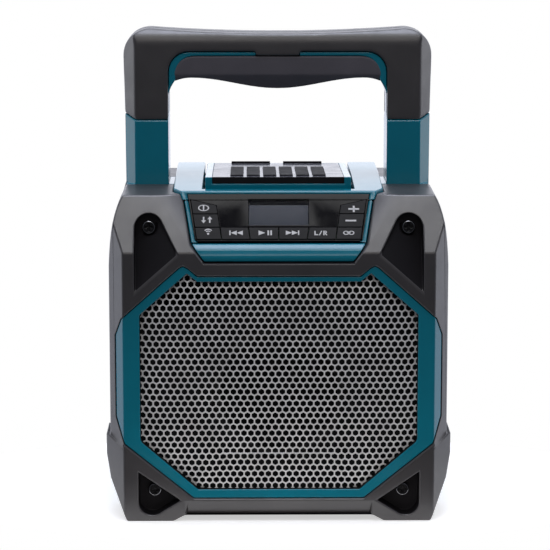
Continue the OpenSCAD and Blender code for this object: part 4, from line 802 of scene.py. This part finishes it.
@dataclass
class Print:
    """A sign built of thin plates on the control face, u across and v up the slope."""

    symbol: Symbol
    centre: Point2
    thick: float = 0.06
    sunk: float = 0.02
    weld: float = 0.001
    wedge_tall: float = 1.1
    band_steps: int = 28
    bm: BMesh = field(default_factory=bmesh.new)

    @staticmethod
    def stand(u: float, v: float, turn: float) -> Matrix:
        """Give the placement of a plate that is made lying flat: stood up, turned and moved."""
        upright = Matrix.Rotation(math.radians(turn), 4, "Y") @ Matrix.Rotation(math.radians(90), 4, "X")
        return Matrix.Translation((u, 0, v)) @ upright

    def bar(self, u: float, v: float, wide: float, high: float, turn: float = 0.0) -> None:
        """Add a bar.

        Args:
            u: middle across.
            v: middle up the slope.
            wide: length across.
            high: length up.
            turn: turn in degrees.
        """
        made = bmesh.ops.create_grid(self.bm, x_segments=1, y_segments=1, size=0.5)["verts"]
        bmesh.ops.scale(self.bm, verts=made, vec=(wide, high, 1))
        bmesh.ops.transform(self.bm, matrix=self.stand(u, v, turn), verts=made)

    def wedge(self, u: float, v: float, size: float, turn: float = 0.0, slim: float = 1.0) -> None:
        """Add a triangle that points to the right.

        Args:
            u: middle across.
            v: middle up the slope.
            size: half height.
            turn: turn in degrees.
            slim: stretch along its point.
        """
        made = bmesh.ops.create_circle(self.bm, cap_ends=True, segments=3, radius=size)["verts"]
        right = Matrix.Rotation(math.radians(-90), 3, "Z")
        bmesh.ops.rotate(self.bm, verts=made, cent=(0, 0, 0), matrix=right)
        bmesh.ops.scale(self.bm, verts=made, vec=(slim, self.wedge_tall, 1))
        bmesh.ops.transform(self.bm, matrix=self.stand(u, v, turn), verts=made)

    def band(self, u: float, v: float, inner: float, outer: float, start: float = 0.0, end: float = 360.0,
             squeeze: float = 1.0) -> None:
        """Add a ring or a part of one.

        Args:
            u: middle across.
            v: middle up the slope.
            inner: inner radius.
            outer: outer radius.
            start: first angle in degrees.
            end: last angle in degrees.
            squeeze: stretch of the height.
        """
        a, b = self.bm.verts.new((inner, 0, 0)), self.bm.verts.new((outer, 0, 0))
        edge = self.bm.edges.new((a, b))
        begin = Matrix.Rotation(math.radians(-start), 3, "Y")
        bmesh.ops.rotate(self.bm, verts=[a, b], cent=(0, 0, 0), matrix=begin)
        before = set(self.bm.verts)
        bmesh.ops.spin(self.bm, geom=[a, b, edge], cent=(0, 0, 0), axis=(0, -1, 0), steps=self.band_steps,
                       angle=math.radians(end - start), use_merge=end - start >= 360.0)
        made = [w for w in self.bm.verts if w not in before] + [w for w in (a, b) if w.is_valid]
        bmesh.ops.scale(self.bm, verts=made, vec=(1, 1, squeeze))
        bmesh.ops.translate(self.bm, verts=made, vec=(u, 0, v))

    def draw(self) -> None:
        """Draw the sign around its own middle, in millimetres."""
        s = self.symbol
        if s is Symbol.POWER:
            self.band(0, 0, 2.65, 3.4, squeeze=0.62)
            self.bar(0, 0, 0.8, 3.6)
        elif s is Symbol.TONE:
            for side in (-1, 1):
                self.bar(side * 1.9, -0.6 * side, 0.9, 2.8)
                self.wedge(side * 1.9, side * 1.0, 1.6, -90 * side, 0.8)
        elif s is Symbol.WIRELESS:
            self.band(0, -1.3, 0.0, 0.7)
            for r in (1.5, 2.7):
                self.band(0, -1.3, r, r + 0.65, 45, 135)
        elif s in (Symbol.PREVIOUS, Symbol.NEXT):
            side, turn = (-1, 180) if s is Symbol.PREVIOUS else (1, 0)
            self.bar(side * 3.75, 0, 0.8, 3.0)
            self.wedge(side * 0.85, 0, 1.55, turn, 1.6)
            self.wedge(-side * 2.85, 0, 1.55, turn, 1.6)
        elif s is Symbol.PLAY:
            self.wedge(-2.6, 0, 1.65, 0, 1.65)
            self.bar(2.0, 0, 1.0, 3.2)
            self.bar(3.75, 0, 1.0, 3.2)
        elif s is Symbol.CHANNEL:
            self.bar(-3.7, 0, 0.75, 2.9)
            self.bar(-2.7, -1.1, 2.0, 0.7)
            self.bar(-0.3, 0, 0.65, 3.3, 28)
            self.bar(1.75, 0, 0.75, 2.9)
            self.band(2.75, 0.65, 0.3, 0.85, -90, 90)
            self.bar(2.3, 1.2, 1.1, 0.55)
            self.bar(2.3, 0.1, 1.1, 0.55)
            self.bar(3.05, -0.8, 0.75, 1.6, -38)
        elif s is Symbol.LINK:
            for side in (-1, 1):
                self.band(side * 1.6, 0, 1.2, 1.85, squeeze=0.72)
            self.bar(0, 0, 2.4, 0.6)
        elif s is Symbol.PLUS:
            self.bar(0, 0, 6.6, 1.05)
            self.bar(0, 0, 1.2, 4.2)
        elif s is Symbol.MINUS:
            self.bar(0, 0, 6.6, 1.05)

    def piece(self, place: Matrix, lift: float) -> bpy.types.Object:
        """Finish the sign as a thin solid on its key, and give it.

        Args:
            place: placement of the control face, in metres.
            lift: height of the key's face above the control face, in millimetres.
        """
        self.draw()
        bm = self.bm
        bmesh.ops.remove_doubles(bm, verts=bm.verts, dist=self.weld)
        bmesh.ops.recalc_face_normals(bm, faces=bm.faces)
        for face in bm.faces:
            if face.normal.y > 0:
                face.normal_flip()
        for vert in bm.verts:
            vert.co.y = 0.0
        raised = bmesh.ops.extrude_face_region(bm, geom=bm.faces[:])["geom"]
        bmesh.ops.translate(bm, verts=points_of(raised), vec=(0, -self.thick, 0))
        bmesh.ops.recalc_face_normals(bm, faces=bm.faces)
        bmesh.ops.translate(bm, verts=bm.verts, vec=(self.centre[0], self.sunk - lift, self.centre[1]))
        bmesh.ops.transform(bm, matrix=place @ Matrix.Scale(MM, 4), verts=bm.verts)
        node = self.symbol.value
        name = node.removeprefix("key_")
        return piece_from(bm, f"sign_{name}", BODY_OF[node], Finish.PRINT)


@dataclass
class Panel:
    """Sloping control panel with its keys, signs and display."""

    low_y: float = -80.65
    low_z: float = 172.75
    lean: float = 31.34
    radius: float = 0.35
    key_radius: float = 0.3
    segments: int = 2
    key_out: float = 0.5
    signs: dict[Symbol, Point2] = field(default_factory=lambda: {
        Symbol.POWER: (-46.1, 23.3), Symbol.TONE: (-44.15, 15.4), Symbol.WIRELESS: (-43.2, 7.4),
        Symbol.PREVIOUS: (-26.1, 6.7), Symbol.PLAY: (-8.4, 6.7), Symbol.NEXT: (8.4, 6.7),
        Symbol.CHANNEL: (25.9, 6.5), Symbol.LINK: (42.9, 6.6),
        Symbol.PLUS: (46.2, 22.5), Symbol.MINUS: (44.3, 14.75)})

    def place(self) -> Matrix:
        """Give the control face's placement: X across, Z up the slope, Y inward."""
        foot = Matrix.Translation((0, self.low_y * MM, self.low_z * MM))
        return foot @ Matrix.Rotation(math.radians(-self.lean), 4, "X")

    def build(self) -> None:
        """Round the keys and panel, print the signs and dress the display."""
        Softened("fascia", Finish.PANEL, self.radius, self.segments).build()
        for symbol, centre in self.signs.items():
            Softened(symbol.value, Finish.KEYS, self.key_radius, self.segments).build()
            Print(symbol, centre).piece(self.place(), self.key_out)
        dress_node("display_window", Finish.LENS)
        dress_node("display", Finish.CRYSTAL)
        dress_node("key_board", Finish.BOARD)
        dress_node("key_switches", Finish.INNER)


@dataclass
class Handle:
    """Carrying handle: teal core, two covers, grip pad and screws."""

    core_radius: float = 0.8
    cell: float = 0.9
    rounds: int = 9
    grip_cell: float = 0.6
    grip_rounds: int = 3
    grip_stretch: float = 1.02
    brow_low: Point2 = (-18.0, 287.9)
    brow_high: Point2 = (-16.5, 295.1)
    brow_cuts: int = 5
    brow_curve: int = 3
    brow_tilt: Point2 = (-0.9, 0.1)
    brow_near: float = 1e-6

    def roll_brow(self, bm: BMesh) -> None:
        """Swell the slanting facet under the top edge of the front cover into a curve."""
        front, up = self.brow_tilt
        rise = self.brow_high[1] - self.brow_low[1]
        back = self.brow_high[0] - self.brow_low[0]
        for step in range(1, self.brow_cuts + 1):
            part = step / (self.brow_cuts + 1)
            height = (self.brow_low[1] + rise * part) * MM
            facets = [f for f in bm.faces if f.normal.y < front and f.normal.z > up]
            for vert in slice_faces(bm, facets, (0, 0, height), (0, 0, 1), self.brow_near, False):
                vert.co.y = (self.brow_low[0] + back * part ** self.brow_curve) * MM

    def seat_grip(self, bm: BMesh) -> None:
        """Stretch the grip pad a little, so that its rounded ends sink into the core."""
        bmesh.ops.scale(bm, verts=bm.verts, vec=(self.grip_stretch, 1.0, 1.0))

    def build(self) -> None:
        """Round the handle's pieces."""
        Softened("handle_core", Finish.TEAL, self.core_radius).build()
        for node, shape in (("handle_cover_front", self.roll_brow), ("handle_cover_rear", None)):
            Remoulded(node, Finish.ELASTOMER, self.cell, self.rounds, shape).build()
        Remoulded("grip_pad", Finish.GRIP, self.grip_cell, self.grip_rounds, self.seat_grip).build()
        dress_node("handle_screws", Finish.SCREW)


@dataclass
class Deck:
    """Top housing, locking lever with its ribbed insert, and the battery door."""

    radius: float = 0.7
    lever_radius: float = 0.6
    insert_radius: float = 0.2
    door_radius: float = 0.8
    lever_y: float = -46.0
    lever_z: float = 209.0
    lever_slope: float = 0.0377
    rib_up: float = 0.12
    nose_y: float = -45.5
    pocket_in: float = 0.6
    pocket_half: float = 57.0
    pocket_rise: Point2 = (-1.0, 33.5)

    def in_pocket(self, at: Vector) -> bool:
        """Say whether a point lies in the pocket behind the control panel, where edges stay sharp."""
        spot = Panel().place().inverted() @ (at * MM) / MM
        return (spot.y > self.pocket_in and abs(spot.x) < self.pocket_half
                and self.pocket_rise[0] < spot.z < self.pocket_rise[1])

    def on_rib_or_shaded_nose(self, at: Vector, out: Vector) -> bool:
        """Say whether a face of the insert stands over the lever's plate, or lies on its nose as painted
        shade.
        """
        plate = self.lever_z - self.lever_slope * (at.y - self.lever_y)
        return at.z - plate > self.rib_up or at.y < self.nose_y

    def build(self) -> None:
        """Round the deck, lever and door."""
        Softened("top_housing", Finish.TEAL, self.radius, sharp=self.in_pocket).build()
        Softened("locking_lever", Finish.TEAL, self.lever_radius).build()
        insert = Softened("lever_insert", Finish.INSERT, self.insert_radius, 1).build()
        # the ribs get real black pad rubber; the nose gets the same finish as painted shade
        repaint(insert, Finish.PADS, self.on_rib_or_shaded_nose)
        Softened("battery_door", Finish.TEAL, self.door_radius).build()
        for node in ("lever_pin", "door_pin"):
            dress_node(node, Finish.STEEL)
        dress_node("door_seal", Finish.SEAL)


@dataclass
class Cabinet:
    """Cabinet shells, socket flap and all that sits inside."""

    radius: float = 0.6
    flap_radius: float = 0.5

    def build(self) -> None:
        """Round the shells and dress the inside."""
        for node in ("cabinet_front", "cabinet_rear"):
            Softened(node, Finish.TEAL, self.radius, 2).build()
        Softened("socket_flap", Finish.ELASTOMER, self.flap_radius).build()
        for finish, nodes in {
            Finish.INNER: ("baffle", "woofer_basket", "tweeter_frame", "battery_bay", "battery_terminal",
                           "battery_pack", "dc_inlet", "audio_socket"),
            Finish.SEAL: ("cabinet_seal", "woofer_surround"),
            Finish.CONE: ("woofer_cone", "woofer_spider", "tweeter_dome"),
            Finish.MAGNET: ("woofer_magnet", "tweeter_magnet"),
            Finish.COIL: ("voice_coil",),
            Finish.BOARD: ("main_board", "socket_board"),
            Finish.STEEL: ("flap_pin", "usb_socket"),
            Finish.SCREW: ("driver_screws",),
        }.items():
            for node in nodes:
                dress_node(node, finish)


# ------------------------ studio, in metres


@dataclass(frozen=True)
class Lamp:
    """A rectangular soft lamp: its place, the point it faces, its width and height, and its power.

    Without shine, glossy surfaces don't mirror it.
    """

    name: str
    at: Point3
    aim: Point3
    size: Point2
    watts: float
    tint: Colour = WHITE
    shine: bool = True

    def hang(self) -> None:
        """Add the lamp to the scene."""
        data = bpy.data.lights.new(self.name, "AREA")
        data.shape = "RECTANGLE"
        data.size, data.size_y = self.size
        data.energy = self.watts
        data.color = self.tint
        made = bpy.data.objects.new(self.name, data)
        made.visible_camera = False
        made.visible_glossy = self.shine
        made.location = self.at
        made.rotation_euler = (Vector(self.aim) - Vector(self.at)).to_track_quat("-Z", "Y").to_euler()
        bpy.context.scene.collection.objects.link(made)


@dataclass
class Studio:
    """Pale floor, soft lamps, plain world and the camera."""

    eye: Point3 = (-0.01764, -1.58317, 0.40988)
    pitch: float = 80.3
    yaw: float = -0.584
    lens: float = 162.85
    sensor: float = 36.0
    room: Point2 = (0.1, 0.75)
    room_span: Point2 = (-0.7, 0.4)
    mirror_span: Point2 = (-0.1, 0.3)
    floor_reach: Point2 = (0.24, 0.135)
    floor_sides: int = 96
    floor_colour: Colour = (0.84, 0.825, 0.8)
    floor_gloss: float = 0.6
    floor_glow: float = 0.5
    lamp_z: float = 1.5
    heart: Point3 = (0.0, 0.0, 0.2)
    cool: Colour = (0.9, 0.94, 1.1)
    warm: Colour = (1.0, 0.94, 0.89)
    mirror: Colour = (0.95, 0.98, 1.12)

    def build(self) -> None:
        """Make the camera, floor, world and lamps."""
        scene = bpy.context.scene
        scene.view_settings.view_transform = "Standard"
        self.camera(scene)
        self.floor()
        self.world(scene)
        for lamp in self.lamps():
            lamp.hang()

    def overhead(self, name: str, x: float, y: float, size: Point2, watts: float,
                 tint: Colour = WHITE) -> Lamp:
        """Give a lamp that hangs under the ceiling and faces straight down."""
        return Lamp(name, (x, y, self.lamp_z), (x, y, 0.0), size, watts, tint)

    def lamps(self) -> list[Lamp]:
        """List the lamps: overhead ones, a pair at the sides, and low ones in front and behind."""
        pairs: list[Lamp] = []
        for side, hand in ((-1, "l"), (1, "r")):
            pairs.append(Lamp(f"side_lamp_{hand}", (1.15 * side, 0.15, 0.5), self.heart, (0.5, 1.0), 1.9))
            pairs.append(self.overhead(f"pad_lamp_{hand}", 0.31 * side, -1.03, (0.36, 0.52), 2.6))
        return [
            self.overhead("front_lamp", 0.0, -0.783, (0.26, 0.466), 1.33),
            self.overhead("top_lamp", 0.0, -0.025, (0.64, 0.95), 9.6, self.cool),
            *pairs,
            Lamp("low_lamp", (0.0, -1.8, 1.15), self.heart, (1.0, 0.5), 3.2, self.warm),
            Lamp("rear_lamp", (0.0, 1.6, 0.5), self.heart, (0.9, 0.6), 0.8),
            Lamp("kick_lamp", (0.0, -0.19, 0.008), (0.0, -0.09, 0.04), (0.24, 0.012), 0.05, self.warm, False)]

    def camera(self, scene: bpy.types.Scene) -> None:
        """Set the camera at the photograph's viewpoint."""
        data = bpy.data.cameras.new("view")
        data.lens = self.lens
        data.sensor_width = self.sensor
        data.sensor_fit = "HORIZONTAL"
        made = bpy.data.objects.new("view", data)
        made.location = self.eye
        made.rotation_euler = (math.radians(self.pitch), 0.0, math.radians(self.yaw))
        scene.collection.objects.link(made)
        scene.camera = made

    def floor(self) -> None:
        """Lay a pale floor that the camera sees as white but keeps the shadow."""
        bm = bmesh.new()
        bmesh.ops.create_circle(bm, cap_ends=True, segments=self.floor_sides, radius=1.0)
        bmesh.ops.scale(bm, verts=bm.verts, vec=(*self.floor_reach, 1.0))
        mesh = bpy.data.meshes.new("floor")
        bm.to_mesh(mesh)
        bm.free()
        n = Nodes(bpy.data.materials.new("floor_white"))
        n.put(Base_Color=(*self.floor_colour, 1.0), Roughness=self.floor_gloss)
        path = n.add("ShaderNodeLightPath").outputs
        plain, glow = n.shader.outputs[0], n.add("ShaderNodeEmission", Strength=self.floor_glow).outputs[0]
        bright = n.join(n.add("ShaderNodeAddShader"), plain, glow)
        peak = n.add("ShaderNodeMath", operation="MAXIMUM")
        eyes = n.join(peak, path["Is Camera Ray"], path["Is Glossy Ray"])
        n.show(n.join(n.add("ShaderNodeMixShader"), eyes, plain, bright), "Material Output")
        mesh.materials.append(n.owner)
        made = bpy.data.objects.new("floor", mesh)
        bpy.context.scene.collection.objects.link(made)

    def world(self, scene: bpy.types.Scene) -> None:
        """Light from above and behind, with a white backdrop for the eye and a cool one in reflections."""
        n = Nodes(bpy.data.worlds.new("studio"), "Background")
        split = n.add("ShaderNodeSeparateXYZ")
        n.link(n.coords["Generated"], split.inputs[0])
        depth = split.outputs["Y"]
        path = n.add("ShaderNodeLightPath").outputs
        n.put(Color=(*self.cool, 1))
        n.drive("Strength", n.between(depth, *self.room, self.room_span))
        mirrored = n.join(n.add("ShaderNodeMath", operation="MULTIPLY"), path["Is Glossy Ray"],
                          n.between(depth, 0.0, 1.0, self.mirror_span))
        seen = n.join(n.add("ShaderNodeMath", operation="MAXIMUM"), path["Is Camera Ray"],
                      path["Is Transmission Ray"])
        shown = n.shader.outputs[0]
        for share, colour in ((mirrored, self.mirror), (seen, WHITE)):
            plain = n.add("ShaderNodeBackground", Color=(*colour, 1)).outputs[0]
            shown = n.join(n.add("ShaderNodeMixShader"), share, shown, plain)
        n.show(shown, "World Output")
        scene.world = n.owner


def main() -> None:
    """Build every sub-assembly in order."""
    logging.basicConfig(level=logging.INFO, format="%(message)s")
    for part in (Studio(), Bumpers(), Grille(), Panel(), Handle(), Deck(), Cabinet()):
        log.info("building %s", type(part).__name__)
        part.build()


if __name__ == "__main__":
    main()
